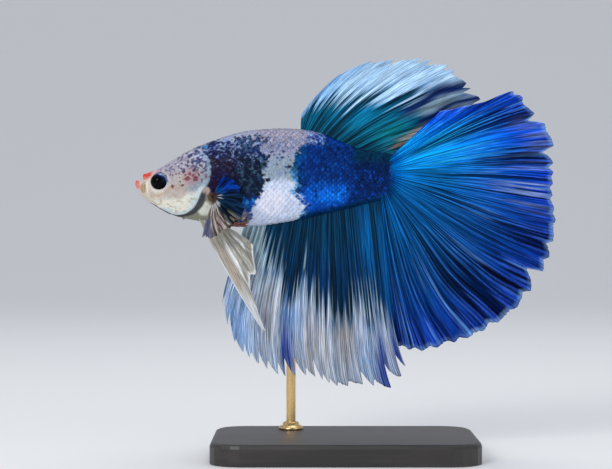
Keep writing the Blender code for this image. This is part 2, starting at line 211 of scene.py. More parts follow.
def ring_normal(share, turn):
    """The direction straight out of the plain body."""
    share = np.clip(share, 0.002, 0.998)
    forward = ring_point(share + 0.001, turn) - ring_point(share - 0.001, turn)
    round_it = ring_point(share, turn + 0.002) - ring_point(share, turn - 0.002)
    out = np.cross(round_it, forward)
    return out / np.maximum(np.linalg.norm(out, axis=-1, keepdims=True), 1e-9)


DENSE = np.linspace(0.12, 1.0, 900)
BACK_LINE = ring_point(DENSE, np.full(DENSE.shape, BACK))
BELLY_LINE = ring_point(DENSE, np.full(DENSE.shape, BELLY))
print("the flank at mid body:", ring_point(0.6, FLANK).round(2))
print("it faces", ring_normal(0.6, FLANK).round(2))

# %% [markdown]
# ## Relief of the head
#
# A real head is a set of plates under thin skin: lips, the jaw plate beside the mouth, a rim
# round each eye, the gill cover with its free rear edge and the folded membrane below it. The
# relief function raises or sinks the skin by fractions of a millimetre along drawn lines, the
# way a medal's die is cut. It is cheaper than sculpting, and the same on both flanks.

# %% Lines of the head, and how far the skin stands out
def curve(*points):
    """A smooth line on the fish's side through a few points."""
    return through(points, np.linspace(0.0, 1.0, 2 * len(points) + 1))


EYE = (-30.77, 45.66)
EYE_RADIUS = 1.40
SOCKET_DEPTH = 0.95
# The gill cover's edges are followed downwards, so the head lies on the side below 0.
GILL_EDGE = curve(
    (-23.6, 50.7),
    (-22.6, 49.7),
    (-22.15, 48.4),
    (-22.15, 47.1),
    (-22.3, 45.9),
    (-22.8, 44.9),
    (-23.5, 44.2),
    (-23.9, 43.3),
    (-24.4, 42.2),
    (-25.1, 41.2),
    (-26.1, 40.55),
    (-27.2, 40.25),
    (-28.4, 40.35),
    (-29.6, 40.9),
)
MEMBRANE_EDGE = curve(
    (-22.9, 43.5), (-23.1, 42.2), (-23.9, 41.1), (-25.3, 40.15), (-27.3, 39.8), (-29.0, 40.3)
)
CHEEK_LINE = curve((-29.2, 47.2), (-28.4, 45.8), (-28.2, 44.3), (-28.8, 42.9), (-30.2, 42.2))
UNDER_EYE = curve((-32.5, 43.9), (-32.1, 43.35), (-30.8, 43.3), (-29.7, 43.8), (-28.8, 44.6))
JAW_PLATE = curve((-33.55, 45.75), (-32.95, 45.1), (-32.8, 44.3), (-33.2, 43.6))
MOUTH_CREASE = curve((-33.3, 44.85), (-33.15, 44.0), (-32.4, 43.35))
NOSTRILS = (((-32.45, 46.72), 0.10), ((-31.95, 47.15), 0.13))


def relief(x, y, z):
    """Millimetres by which the skin stands out of the plain body."""
    reach = np.hypot(x - EYE[0], z - EYE[1])
    made = -SOCKET_DEPTH * (1.0 - smooth(1.18, EYE_RADIUS, reach))
    made += 0.09 * np.exp(-(((reach - 1.56) / 0.14) ** 2))
    gill = -off_line(GILL_EDGE, x, z)
    step = 0.16 - 0.06 * smooth(44.5, 46.0, z)
    made += step * smooth(-0.06, 0.09, gill) * (1.0 - smooth(0.3, 4.0, gill))
    made -= 0.06 * np.exp(-(((gill + 0.14) / 0.13) ** 2))
    made -= 0.035 * np.exp(-(((gill - 0.95) / 0.16) ** 2)) * smooth(45.0, 43.6, z)
    membrane = -off_line(MEMBRANE_EDGE, x, z)
    made += 0.08 * smooth(-0.06, 0.08, membrane) * (1.0 - smooth(0.2, 1.6, membrane))
    made -= 0.05 * np.exp(-((off_line(CHEEK_LINE, x, z) / 0.14) ** 2))
    made -= 0.045 * np.exp(-((off_line(UNDER_EYE, x, z) / 0.12) ** 2))
    made -= 0.06 * np.exp(-((off_line(MOUTH_CREASE, x, z) / 0.10) ** 2))
    made += 0.05 * np.exp(-(((off_line(JAW_PLATE, x, z) + 0.25) / 0.3) ** 2)) * (x < -32.2)
    for place, width in NOSTRILS:
        made -= 0.12 * np.exp(-((np.hypot(x - place[0], z - place[1]) / width) ** 2))
    made += 0.40 * np.exp(-((np.hypot((x + 22.0) / 0.75, (z - 43.1) / 1.15)) ** 2))
    made += 0.35 * np.exp(-(((x + 26.8) / 0.13) ** 2)) * smooth(39.9, 39.6, z)
    made += 0.03 * (grain(x, y, z, 0.9, 3.0) - 0.5) + 0.022 * (grain(x, y, z, 0.28, 5.0) - 0.5)
    return made * smooth(-34.5, -33.9, x + 0.6 * (z > 45.4))


print("relief at the gill cover's rear edge:", relief(-22.4, -3.5, 47.0).round(3))

# %% [markdown]
# ## Markings
#
# A marble betta is pale where pigment cells are missing, black-purple where they crowd and blue
# where iridescent cells lie on top. The markings are one function of a place on the side. Skin
# and scales both ask it, so the coat can't disagree with what is under it. Painting them by
# hand would give one fixed picture. A function can be asked at any density.

# %% Tones and zones of the body
CREAM = (0.71, 0.70, 0.60)
LILAC = (0.33, 0.31, 0.38)
MAROON = (0.15, 0.028, 0.034)
PLUM = (0.030, 0.020, 0.075)
NAVY = (0.010, 0.020, 0.110)
LIP_RED = (0.60, 0.035, 0.015)

BLUE_FRONT = (
    (39.2, -8.6),
    (40.5, -7.4),
    (42.7, -8.4),
    (46.3, -9.0),
    (48.3, -8.9),
    (50.0, -8.0),
    (56.0, -7.6),
)
DARK_REAR = (
    (38.6, -16.6),
    (39.5, -15.1),
    (40.6, -16.0),
    (42.2, -15.2),
    (45.0, -14.0),
    (48.0, -13.6),
    (50.0, -13.6),
    (53.0, -16.0),
)
SPECKS = (
    (MAROON, (-26.05, 46.15, 0.43), (-24.60, 46.00, 0.46), (-24.05, 46.75, 0.22)),
    (MAROON, (-25.60, 47.00, 0.34), (-28.45, 44.80, 0.34), (-26.80, 45.00, 0.28)),
    (MAROON, (-26.30, 46.70, 0.26), (-25.00, 46.70, 0.24), (-27.20, 45.60, 0.18)),
    (MAROON, (-27.85, 46.90, 0.20), (-28.40, 46.70, 0.16), (-27.30, 46.30, 0.15)),
    (PLUM, (-26.60, 47.35, 0.38), (-24.90, 47.55, 0.32), (-27.00, 47.80, 0.20)),
    (PLUM, (-25.90, 48.90, 0.24), (-24.50, 50.60, 0.34), (-24.30, 49.65, 0.30)),
    (PLUM, (-29.15, 48.40, 0.14), (-28.70, 48.10, 0.15), (-27.20, 49.10, 0.17)),
    (NAVY, (-23.90, 48.95, 0.30), (-23.20, 50.30, 0.40), (-25.30, 50.10, 0.20)),
    ((0.03, 0.20, 0.42), (-23.00, 51.40, 0.30), (-21.70, 51.90, 0.32), (-23.70, 51.70, 0.16)),
)
FLANK_SPOTS = (
    (-14.4, 45.8, 0.50),
    (-12.9, 45.9, 0.32),
    (-10.4, 49.5, 0.26),
    (-12.7, 49.8, 0.28),
    (-9.3, 48.1, 0.36),
    (-8.4, 47.9, 0.38),
    (-15.2, 43.6, 0.55),
    (-13.7, 44.0, 0.30),
)


def zone(line, z):
    """Where a border that is given as (z, x) points crosses each height."""
    heights, places = zip(*line)
    return np.interp(z, heights, places)


def layer(colour, x):
    """The same colour at every point."""
    return np.broadcast_to(np.asarray(colour, float), np.shape(x) + (3,)).copy()


print("the blue starts at x", zone(BLUE_FRONT, 46.0))


# %% The head's colours
def head_colour(x, y, z):
    """Cream below and lilac above, and greyer towards the gill cover."""
    soft = grain(x, y, z, 1.3, 1.0)
    fine = grain(x, y, z, 0.40, 2.0)
    tiny = grain(x, y, z, 0.24, 4.0)
    tone = layer((0.41, 0.365, 0.35), x)
    rear = smooth(-27.0, -24.8, x + 0.8 * (soft - 0.5))
    tone = blend_to(tone, (0.22, 0.27, 0.32), 0.9 * rear)
    tone = blend_to(tone, CREAM, smooth(43.9, 42.3, z - 0.2 * (x + 29.0) + 1.2 * (soft - 0.5)))
    tone = blend_to(tone, (0.50, 0.60, 0.60), 0.85 * rear * smooth(44.2, 43.0, z))
    tone = blend_to(tone, (0.40, 0.32, 0.28), 0.6 * spot(x, z, (-27.4, 44.0), 1.3))
    tone = blend_to(tone, (0.62, 0.54, 0.47), 0.7 * spot(x, z, (-31.0, 43.8), 1.1))
    up = z - 0.30 * (x + 29.0) + 0.9 * (soft - 0.5)
    tone = blend_to(tone, LILAC, smooth(45.4, 47.4, up))
    tone = blend_to(tone, (0.26, 0.36, 0.55), 0.75 * smooth(-26.0, -23.4, x) * smooth(48.4, 50.0, z))
    reach = np.hypot(x - EYE[0], z - EYE[1])
    ring = 1.0 - smooth(1.62, 2.1, reach)
    low_front = smooth(0.5, -1.0, (x - EYE[0]) + 0.9 * (z - EYE[1]))
    tone = blend_to(tone, (0.64, 0.61, 0.55), ring * (0.25 + 0.75 * low_front))
    glint = smooth(1.62, 1.52, reach) * (1.0 - low_front)
    tone = blend_to(tone, (0.42, 0.50, 0.54), 0.7 * glint)
    upper_rear = smooth(0.3, 1.0, 0.5 * (x - EYE[0]) + 0.85 * (z - EYE[1]))
    lid = smooth(1.34, 1.44, reach) * (1.0 - smooth(1.58, 1.70, reach)) * upper_rear
    tone = blend_to(tone, (0.05, 0.030, 0.075), 0.85 * lid)
    tone = blend_to(tone, (0.62, 0.56, 0.52), 0.5 * smooth(0.66, 0.80, tiny))
    tone = blend_to(tone, (0.36, 0.26, 0.13), 0.5 * smooth(0.60, 0.74, fine) * smooth(44.0, 43.0, z))
    line = np.exp(-((off_line(UNDER_EYE, x, z) / 0.16) ** 2))
    wide = np.exp(-((off_line(UNDER_EYE, x, z) / 0.42) ** 2))
    tone = blend_to(tone, (0.52, 0.41, 0.29), 0.45 * wide)
    tone = blend_to(tone, (0.40, 0.25, 0.14), 0.40 * line * (0.5 + fine))
    plate = smooth(0.75, 0.55, np.hypot((x + 33.4) / 0.8, (z - 44.6) / 1.25))
    tone = blend_to(tone, (0.62, 0.40, 0.40), 0.8 * smooth(-30.6, -31.6, x) * smooth(46.4, 47.0, z))
    tone = blend_to(tone, (0.62, 0.55, 0.44), 0.75 * smooth(-31.9, -32.5, x) * smooth(46.4, 46.0, z))
    tone = blend_to(tone, (0.40, 0.29, 0.18), 0.9 * plate)
    striped = np.exp(-(((x + 33.55) / 0.09) ** 2)) + np.exp(-(((x + 33.2) / 0.08) ** 2))
    tone = blend_to(tone, (0.24, 0.16, 0.10), 0.45 * plate * striped)
    strip = np.exp(-(((x + 32.72 + 0.1 * (z - 44.6)) / 0.13) ** 2))
    return blend_to(tone, (0.80, 0.74, 0.66), 0.75 * strip * smooth(43.4, 43.9, z) * (z < 45.7))


print("cheek colour:", head_colour(np.array([-28.0]), 0.0, np.array([43.5])).round(2))


# %% Specks, and the gill cover's rim
def speckled(tone, x, y, z):
    """Dark specks: many small ones that crowd towards the nape, and a few named large ones."""
    fine = grain(x, y, z, 0.38, 7.0)
    tiny = grain(x, y, z, 0.22, 8.0)
    crowd = smooth(44.4, 47.2, z) * (0.27 + 0.33 * smooth(-29.0, -24.0, x))
    crowd = crowd * smooth(1.6, 2.0, np.hypot(x - EYE[0], z - EYE[1]))
    edge = 0.86 - 0.62 * crowd
    dots = smooth(edge - 0.05, edge + 0.06, 0.62 * fine + 0.38 * tiny)
    deep = blend_to(layer(MAROON, x), NAVY, smooth(46.6, 48.4, z + (fine - 0.5)))
    tone = blend_to(tone, deep, 0.85 * dots * (crowd > 0.02))
    tone = blend_to(tone, (0.36, 0.20, 0.22), 0.55 * spot(x, z, (-25.4, 46.5), 1.5))
    for colour, *places in SPECKS:
        for place_x, place_z, radius in places:
            wide = radius * (0.75 + 0.7 * (fine - 0.5) + 0.5 * tiny)
            mark = smooth(1.15, 0.75, np.hypot(x - place_x, z - place_z) / wide)
            tone = blend_to(tone, colour, 0.88 * mark)
    return tone


def gill_colour(tone, x, y, z):
    """The gill cover's bluish rim, and the dark folded membrane under it."""
    fine = grain(x, y, z, 0.5, 9.0)
    gill = -off_line(GILL_EDGE, x, z)
    near_edge = smooth(-0.04, 0.18, gill) * (1.0 - smooth(0.35, 0.75, gill + 0.9 * (fine - 0.5)))
    upper = smooth(44.2, 45.6, z)
    tone = blend_to(tone, (0.22, 0.33, 0.46), 0.9 * near_edge * upper * (0.35 + 0.9 * fine))
    tone = blend_to(tone, (0.50, 0.64, 0.70), 0.8 * near_edge * (1.0 - upper))
    membrane = -off_line(MEMBRANE_EDGE, x, z)
    folded = smooth(0.08, -0.14, gill) * smooth(-0.12, 0.16, membrane) * smooth(44.2, 43.4, z)
    lines = 0.5 + 0.5 * np.sin(12.0 * (membrane + 0.25 * fine))
    tone = blend_to(tone, (0.035, 0.038, 0.046), 0.96 * folded)
    return blend_to(tone, (0.14, 0.15, 0.16), 0.5 * folded * lines * smooth(-24.0, -27.0, x))


print("named specks on the head:", sum(len(row) - 1 for row in SPECKS))


# %% The trunk's colours, as a pale ground with dark and blue layers
def ground_colour(x, y, z):
    """The pale skin: lilac and pinkish on the back, greyish along the side, white below."""
    lump = grain(x, y, z, 1.5, 12.0)
    cell = grain(x, y, z, 0.5, 11.0)
    tiny = grain(x, y, z, 0.3, 16.0)
    tone = layer((0.33, 0.33, 0.46), x)
    tone = blend_to(tone, (0.22, 0.36, 0.60), 0.8 * smooth(-13.0, -17.0, x + 2.0 * (lump - 0.5)))
    tone = blend_to(tone, (0.46, 0.40, 0.46), 0.6 * smooth(51.5, 53.0, z + 1.5 * (lump - 0.5)))
    side = smooth(50.2, 48.4, z + 1.4 * (lump - 0.5))
    tone = blend_to(tone, (0.27, 0.36, 0.42), 0.85 * side)
    tone = blend_to(tone, (0.60, 0.67, 0.83), smooth(46.6, 44.6, z + 1.6 * (lump - 0.5)))
    tone = blend_to(tone, (0.78, 0.76, 0.87), 0.7 * spot(x, z, (-12.2, 42.3), 2.2))
    tone = blend_to(tone, (0.24, 0.36, 0.62), 0.45 * smooth(0.58, 0.78, cell) * smooth(44.6, 46.4, z))
    tone = blend_to(tone, (0.40, 0.50, 0.72), 0.5 * smooth(0.60, 0.80, tiny))
    tone = blend_to(tone, (0.10, 0.13, 0.24), 0.55 * smooth(0.64, 0.82, tiny) * smooth(45.0, 47.5, z))
    net = smooth(50.2, 51.4, z) * smooth(-15.5, -12.5, x)
    return blend_to(tone, (0.16, 0.18, 0.32), 0.5 * net * smooth(0.45, 0.70, tiny))


def dark_layer(x, y, z):
    """The black and plum band behind the head: its colour, and how much it covers."""
    cell = grain(x, y, z, 0.55, 13.0)
    tiny = grain(x, y, z, 0.3, 15.0)
    lump = grain(x, y, z, 1.7, 14.0)
    tone = layer((0.003, 0.008, 0.026), x)
    tone = blend_to(tone, (0.006, 0.002, 0.020), smooth(-16.4, -18.6, x + 2.4 * (lump - 0.5)))
    front = smooth(-16.0, -19.0, x)
    tone = blend_to(tone, (0.030, 0.003, 0.020), 0.6 * front * smooth(0.62, 0.80, cell))
    tone = blend_to(tone, (0.006, 0.024, 0.130), 0.7 * smooth(0.64, 0.80, tiny))
    tone = blend_to(tone, (0.004, 0.014, 0.090), 0.7 * smooth(49.4, 51.4, z + lump))
    slate = smooth(-19.5, -16.0, x + 2.0 * (lump - 0.5)) * smooth(42.6, 47.0, z)
    tone = blend_to(tone, (0.045, 0.110, 0.160), 0.75 * slate * smooth(0.50, 0.72, 0.4 * cell + 0.6 * tiny))
    sparks = smooth(0.70, 0.80, grain(x, y, z, 0.26, 17.0)) * smooth(47.0, 49.5, z)
    tone = blend_to(tone, (0.16, 0.22, 0.42), 0.75 * sparks)
    low_blue = smooth(43.6, 42.5, z + 0.5 * (cell - 0.5)) * smooth(-18.0, -17.0, x)
    tone = blend_to(tone, (0.002, 0.060, 0.330), low_blue * (0.4 + 0.8 * cell))
    tone = blend_to(tone, (0.010, 0.260, 0.560), 0.8 * low_blue * smooth(0.62, 0.76, tiny))
    ochre = smooth(41.2, 40.2, z + 0.8 * (cell - 0.5)) * smooth(-15.4, -16.4, x)
    tone = blend_to(tone, (0.20, 0.13, 0.06), 0.8 * ochre * smooth(0.35, 0.55, cell))
    tone = blend_to(tone, (0.42, 0.36, 0.26), 0.7 * ochre * smooth(0.60, 0.78, tiny))
    edge = z - np.interp(x, BELLY_LINE[:, 0], BELLY_LINE[:, 2])
    tone = blend_to(tone, (0.26, 0.07, 0.05), 0.8 * ochre * smooth(0.9, 0.3, edge))
    body = smooth(-0.5, 0.5, zone(DARK_REAR, z) - x + 1.8 * (lump - 0.5) + 0.8 * (cell - 0.5))
    share = 1.25 * body * smooth(53.2, 48.8, z + 1.6 * (lump - 0.5) + 1.4 * (cell - 0.5))
    share *= 1.0 - 0.5 * spot(x, z, (-18.3, 50.6), 0.9) * smooth(0.35, 0.6, tiny)
    net = smooth(-9.3, -13.5, x) * smooth(47.4, 49.5, z) * smooth(55.2, 52.8, z + lump)
    mottle = 0.45 + 1.3 * (lump - 0.5) + 1.2 * (cell - 0.5) + 1.4 * (tiny - 0.5)
    share = np.maximum(share, net * (0.45 + 0.55 * smooth(-12.4, -14.6, x)) * np.clip(mottle, 0, 1))
    dotted = smooth(46.0, 47.2, z) * smooth(54.6, 52.4, z) * smooth(-7.0, -8.6, x)
    share = np.maximum(share, dotted * np.clip(0.16 + 0.7 * (tiny - 0.5), 0.0, 0.3))
    for place_x, place_z, radius in FLANK_SPOTS:
        share = np.maximum(share, spot(x + 0.5 * (tiny - 0.5), z, (place_x, place_z), radius))
    return tone, np.clip(share, 0.0, 1.0)


print("cover in the band:", dark_layer(np.array([-20.0]), -3.0, np.array([47.0]))[1])


# %% The blue half, and all the markings together
def back_height(x, lower):
    """Height of the back at x, moved by lower."""
    return np.interp(x, BACK_LINE[:, 0], BACK_LINE[:, 2]) + lower


def blue_layer(x, y, z):
    """The blue rear half: its colour, and how much it covers."""
    cell = grain(x, y, z, 0.55, 21.0)
    tiny = grain(x, y, z, 0.3, 24.0)
    lump = grain(x, y, z, 2.0, 22.0)
    tone = layer((0.001, 0.030, 0.200), x)
    tone = blend_to(tone, (0.001, 0.065, 0.52), 0.8 * smooth(45.4, 43.6, z + 1.4 * (lump - 0.5)))
    tone = blend_to(tone, (0.001, 0.055, 0.42), 0.7 * smooth(1.8, 0.2, back_height(x, 0.0) - z))
    front = zone(BLUE_FRONT, z)
    tone = blend_to(tone, (0.001, 0.070, 0.30), 0.6 * smooth(2.6, 0.8, x - front + 1.5 * (lump - 0.5)))
    bright = np.exp(-(((x + 2.4) / 4.4) ** 2) - (((z - 43.3) / 1.5) ** 2))
    tone = blend_to(tone, (0.003, 0.20, 0.95), 0.95 * bright * (0.2 + 0.7 * cell + 0.6 * tiny))
    stalk = smooth(-0.8, 1.6, x + 1.6 * (lump - 0.5) - 0.2 * (z - 45.0))
    tone = blend_to(tone, (0.0, 0.014, 0.075), 0.85 * stalk)
    tone = blend_to(tone, (0.003, 0.05, 0.42), 0.8 * stalk * smooth(0.62, 0.8, tiny) * (z < 47.6))
    tone = blend_to(tone, (0.0, 0.034, 0.072), 0.8 * stalk * smooth(48.2, 49.6, z))
    tone = blend_to(tone, (0.0, 0.008, 0.045), 0.8 * smooth(0.40, 0.22, 0.5 * cell + 0.5 * tiny))
    tone = blend_to(tone, (0.002, 0.10, 0.40), 0.35 * smooth(0.64, 0.82, tiny) * (1.0 - stalk))
    belly = z - np.interp(x, BELLY_LINE[:, 0], BELLY_LINE[:, 2])
    tone = blend_to(tone, (0.0, 0.035, 0.10), 0.8 * smooth(1.1, 0.3, belly))
    frost = smooth(51.4, 52.6, z) * smooth(-2.4, -4.4, x) * smooth(0.50, 0.66, tiny)
    tone = blend_to(tone, (0.26, 0.44, 0.80), 0.8 * frost)
    border = front + 1.3 * (grain(x, y, z, 0.9, 33.0) - 0.5) + 0.9 * (tiny - 0.5)
    rim = np.exp(-(((x - border - 0.3) / 0.45) ** 2)) * smooth(48.6, 46.5, z)
    tone = blend_to(tone, (0.13, 0.45, 0.75), 0.7 * rim)
    tone = blend_to(tone, (0.0, 0.06, 0.11), 0.7 * smooth(1.0, 0.3, x - border) * smooth(46.5, 48, z))
    wide = 0.4 + 6.5 * smooth(51.0, 52.6, z) + 3.2 * smooth(44.6, 43.0, z) * smooth(40.0, 41.2, z)
    return tone, smooth(-0.30, 1.0, (x - border) / wide)


def marking(x, y, z, dark_at=None, blue_at=None):
    """Colour and sheen of a place on the body. A scale passes its own share of each layer."""
    x, y, z = np.broadcast_arrays(*(np.asarray(axis, float) for axis in (x, y, z)))
    gill = -off_line(GILL_EDGE, x, z)
    on_head = smooth(-0.12, 0.06, gill + 3.0 * smooth(50.3, 51.0, z) * smooth(-22, -24, x))
    tone = ground_colour(x, y, z)
    dark, dark_share = dark_layer(x, y, z)
    tone = blend_to(tone, dark, dark_share if dark_at is None else dark_at)
    breast = smooth(43.9, 43.0, z) * smooth(-20.6, -22.0, x + 0.6 * (z - 42.0))
    pale = spot(x, z, (-23.2, 41.2), 1.2) * (0.6 + 0.8 * grain(x, y, z, 0.6, 31.0))
    chest = blend_to(layer((0.24, 0.24, 0.18), x), (0.66, 0.68, 0.58), pale)
    tone = blend_to(tone, chest, breast)
    tone = blend_to(tone, (0.42, 0.32, 0.28), 0.85 * spot(x, z, (-22.9, 44.1), 0.70))
    tone = blend_to(tone, (0.09, 0.045, 0.025), 0.9 * spot(x, z, (-21.95, 43.1), 0.75))
    blue, blue_share = blue_layer(x, y, z)
    blue_share = blue_share if blue_at is None else blue_at
    tone = blend_to(tone, blue, blue_share)
    head = speckled(head_colour(x, y, z), x, y, z)
    tone = gill_colour(blend_to(tone, head, on_head), x, y, z)
    sheen = 0.30 * blue_share * (1.0 - on_head)
    return np.concatenate([tone, sheen[..., None]], axis=-1)


print("white belly:", marking(-12.5, -3.0, 41.0).round(2), "tail:", marking(4.0, -1.5, 45.0).round(2))

# %% [markdown]
# ## Small tools for finishes
#
# Wet skin, membrane, eye, wood and brass differ in gloss as much as in colour. Each finish is a
# Principled shader, and a short helper adds and links the nodes that vary it.


# %% Helpers for node materials
def new_finish(name, **settings):
    """A material with a Principled shader, and its constant settings."""
    made = bpy.data.materials.new(name)
    made.use_nodes = True
    shader = made.node_tree.nodes["Principled BSDF"]
    for key, value in settings.items():
        shader.inputs[key.replace("_", " ")].default_value = value
    return made


def add(finish, kind, inputs=None, **settings):
    """A node of that kind. An input is a value, or another node's output to link."""
    made = finish.node_tree.nodes.new(kind)
    for key, value in settings.items():
        setattr(made, key, value)
    for key, value in (inputs or {}).items():
        plug(finish, value, made.inputs[key])
    return made


def plug(finish, value, socket):
    """Sets a socket to a value, or links another node's output to it."""
    if isinstance(value, bpy.types.NodeSocket):
        finish.node_tree.links.new(value, socket)
    else:
        socket.default_value = value


def to_shader(finish, **inputs):
    """Values or links for the Principled shader's sockets."""
    shader = finish.node_tree.nodes["Principled BSDF"]
    for key, value in inputs.items():
        plug(finish, value, shader.inputs[key.replace("_", " ")])


def in_millimetres(finish, stretch=(1.0, 1.0, 1.0)):
    """Object coordinates, scaled so that a texture's scale counts lumps per millimetre."""
    place = add(finish, "ShaderNodeTexCoord").outputs["Object"]
    scale = tuple(1000.0 * part for part in stretch)
    return add(finish, "ShaderNodeMapping", {"Vector": place, "Scale": scale}).outputs["Vector"]


def sums(finish, operation, first, second=0.5, third=0.0):
    """The output of a Math node."""
    inputs = {0: first, 1: second, 2: third}
    return add(finish, "ShaderNodeMath", inputs, operation=operation).outputs[0]


def toned(finish, colour, factor):
    """A colour made darker or lighter by a factor that varies over the surface."""
    return add(
        finish,
        "ShaderNodeVectorMath",
        {0: colour, "Scale": factor},
        operation="SCALE",
    ).outputs[0]


print("node helpers:", ", ".join(made.__name__ for made in (add, plug, to_shader, sums, toned)))

# %% [markdown]
# The finish of skin and scales reads the markings from a colour attribute, so that the pattern
# is the function above and not a picture. Fine grain is added on top, because a close look finds
# pigment cells in every patch, and the sheen of the blue cells is the attribute's fourth number.


# %% Skin and scale finishes
def marked_finish(name, roughness, bump, scale):
    finish = new_finish(name, Coat_Weight=0.04, Coat_Roughness=0.12, Specular_IOR_Level=0.07)
    mark = add(finish, "ShaderNodeAttribute", attribute_name="Marking")
    place = in_millimetres(finish)
    fine = add(finish, "ShaderNodeTexNoise", {"Vector": place, "Scale": scale, "Detail": 3.0})
    factor = sums(finish, "MULTIPLY_ADD", fine.outputs["Fac"], 0.5, 0.78)
    rough = sums(finish, "MULTIPLY_ADD", fine.outputs["Fac"], 0.25, roughness - 0.12)
    height = add(
        finish,
        "ShaderNodeBump",
        {"Height": fine.outputs["Fac"], "Strength": bump, "Distance": 0.00005},
    )
    to_shader(
        finish,
        Base_Color=toned(finish, mark.outputs["Color"], factor),
        Metallic=mark.outputs["Alpha"],
        Roughness=rough,
        Normal=height.outputs["Normal"],
    )
    return finish


skin_finish = marked_finish("wet marbled skin", 0.42, 0.5, 3.0)
scale_finish = marked_finish("wet marbled scales", 0.36, 0.35, 5.0)
print("finishes:", skin_finish.name, "and", scale_finish.name)

# %% [markdown]
# ## The skin
#
# The skin starts as a flat grid with a UV map. Its corners are carried to the rings, which rolls
# it into the tube, and the seam under the belly and the two end points are merged. Subdividing a
# coarse cage would round off the gill cover's edge, so the grid is fine from the start.


# %% From a grid to a piece
def grid_mesh(columns, rows):
    """A bmesh grid with its unwrap, and its corners' across and along shares."""
    bm = bmesh.new()
    bm.loops.layers.uv.new("OFBake")
    bmesh.ops.create_grid(bm, x_segments=columns, y_segments=rows, size=0.5, calc_uvs=True)
    places = np.array([vertex.co[:] for vertex in bm.verts])
    return bm, places[:, 0] + 0.5, places[:, 1] + 0.5


def face_order(bm):
    """A number for each face from its three lowest corners, the same in every run."""
    bm.verts.index_update()
    count = len(bm.verts)

    def rank(face):
        first, second, third = sorted(corner.index for corner in face.verts)[:3]
        return (first * count + second) * count + third

    return rank


def to_mesh(bm, name):
    """Sorts the faces first, because extrude and spin list them in another order each run."""
    bm.faces.sort(key=face_order(bm))
    mesh = bpy.data.meshes.new(name)
    bm.to_mesh(mesh)
    bm.free()
    mesh.shade_smooth()
    return mesh


def move_points(mesh, points):
    """Puts a mesh's points, given in millimetres, in their places in metres."""
    mesh.vertices.foreach_set("co", (points * MM).astype(np.float32).ravel())
    mesh.update()


def colour_points(mesh, colours, name="Marking"):
    layer = mesh.color_attributes.new(name, "FLOAT_COLOR", "POINT")
    layer.data.foreach_set("color", np.clip(colours, 0, 1).astype(np.float32).ravel())


print("a grid of 3 by 2 has", len(grid_mesh(3, 2)[1]), "points")


# %% Merge, dress and unwrap a piece
def close_up(mesh, merge):
    """Merges the points that lie together, and turns every face outwards."""
    bm = bmesh.new()
    bm.from_mesh(mesh)
    bmesh.ops.remove_doubles(bm, verts=bm.verts, dist=merge * MM)
    bmesh.ops.recalc_face_normals(bm, faces=bm.faces)
    if bm.calc_volume(signed=True) < 0.0:
        bmesh.ops.reverse_faces(bm, faces=bm.faces)
    bm.to_mesh(mesh)
    bm.free()


def as_piece(mesh, name, finish, slot, *nodes):
    """An object for the finished mesh that rides on the model and stands for its nodes."""
    piece = bpy.data.objects.new(name, mesh)
    mesh.materials.append(finish)
    bpy.context.collection.objects.link(piece)
    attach(piece, "root")
    if nodes:
        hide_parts(*nodes)
    print(name, "has", len(mesh.polygons), "faces")
    return piece


def lay_flat(mesh, layer, flat):
    """Writes a UV place for each point into a UV layer."""
    corners = np.empty(len(mesh.loops), np.int32)
    mesh.loops.foreach_get("vertex_index", corners)
    mesh.uv_layers[layer].data.foreach_set("uv", flat[corners].astype(np.float32).ravel())


def points_of(mesh):
    places = np.empty(len(mesh.vertices) * 3, np.float32)
    mesh.vertices.foreach_get("co", places)
    return places.reshape(-1, 3).astype(float) / MM


# %% Roll the skin
SPREAD_ROWS = (0.0, 0.07, 0.62, 0.96, 1.0)
SPREAD_SHARES = (0.0, 0.11, 0.55, 0.93, 1.0)


def make_skin(columns=340, rows=280):
    """Most rows go to the head, whose lines are finer than the trunk's."""
    bm, turn, row = grid_mesh(columns, rows)
    mesh = to_mesh(bm, "skin")
    share = np.interp(row, SPREAD_ROWS, SPREAD_SHARES)
    plain = ring_point(share, turn)
    out = ring_normal(share, turn)
    lift = relief(plain[:, 0], plain[:, 1], plain[:, 2]) * smooth(0.13, 0.17, share)
    front = np.abs(np.cos(np.interp(turn, ARC, ANGLES)))
    lift += 0.09 * np.exp(-(((share - 0.165) / 0.028) ** 2)) * (1.0 - smooth(0.7, 0.95, front))
    lift *= 1.0 - smooth(0.93, 0.96, share)
    shaped = plain + out * lift[:, None]
    first, last = np.flatnonzero(turn < 1e-5), np.flatnonzero(turn > 1.0 - 1e-5)
    shaped[last[np.argsort(row[last])]] = shaped[first[np.argsort(row[first])]]
    for end in (share < 1e-5, share > 1.0 - 1e-5):
        shaped[end] = shaped[end].mean(axis=0)
    colours = marking(plain[:, 0], plain[:, 1], plain[:, 2])
    colours[:, :3] = lip_colour(colours[:, :3], share, front, plain)
    move_points(mesh, shaped)
    colour_points(mesh, colours)
    close_up(mesh, 0.0004)
    return as_piece(
        mesh,
        "skin",
        skin_finish,
        "pale_skin",
        "head",
        "jaw_lower",
        "gill_cover_left",
        "gill_cover_right",
        "trunk",
        "tail_stalk",
    )


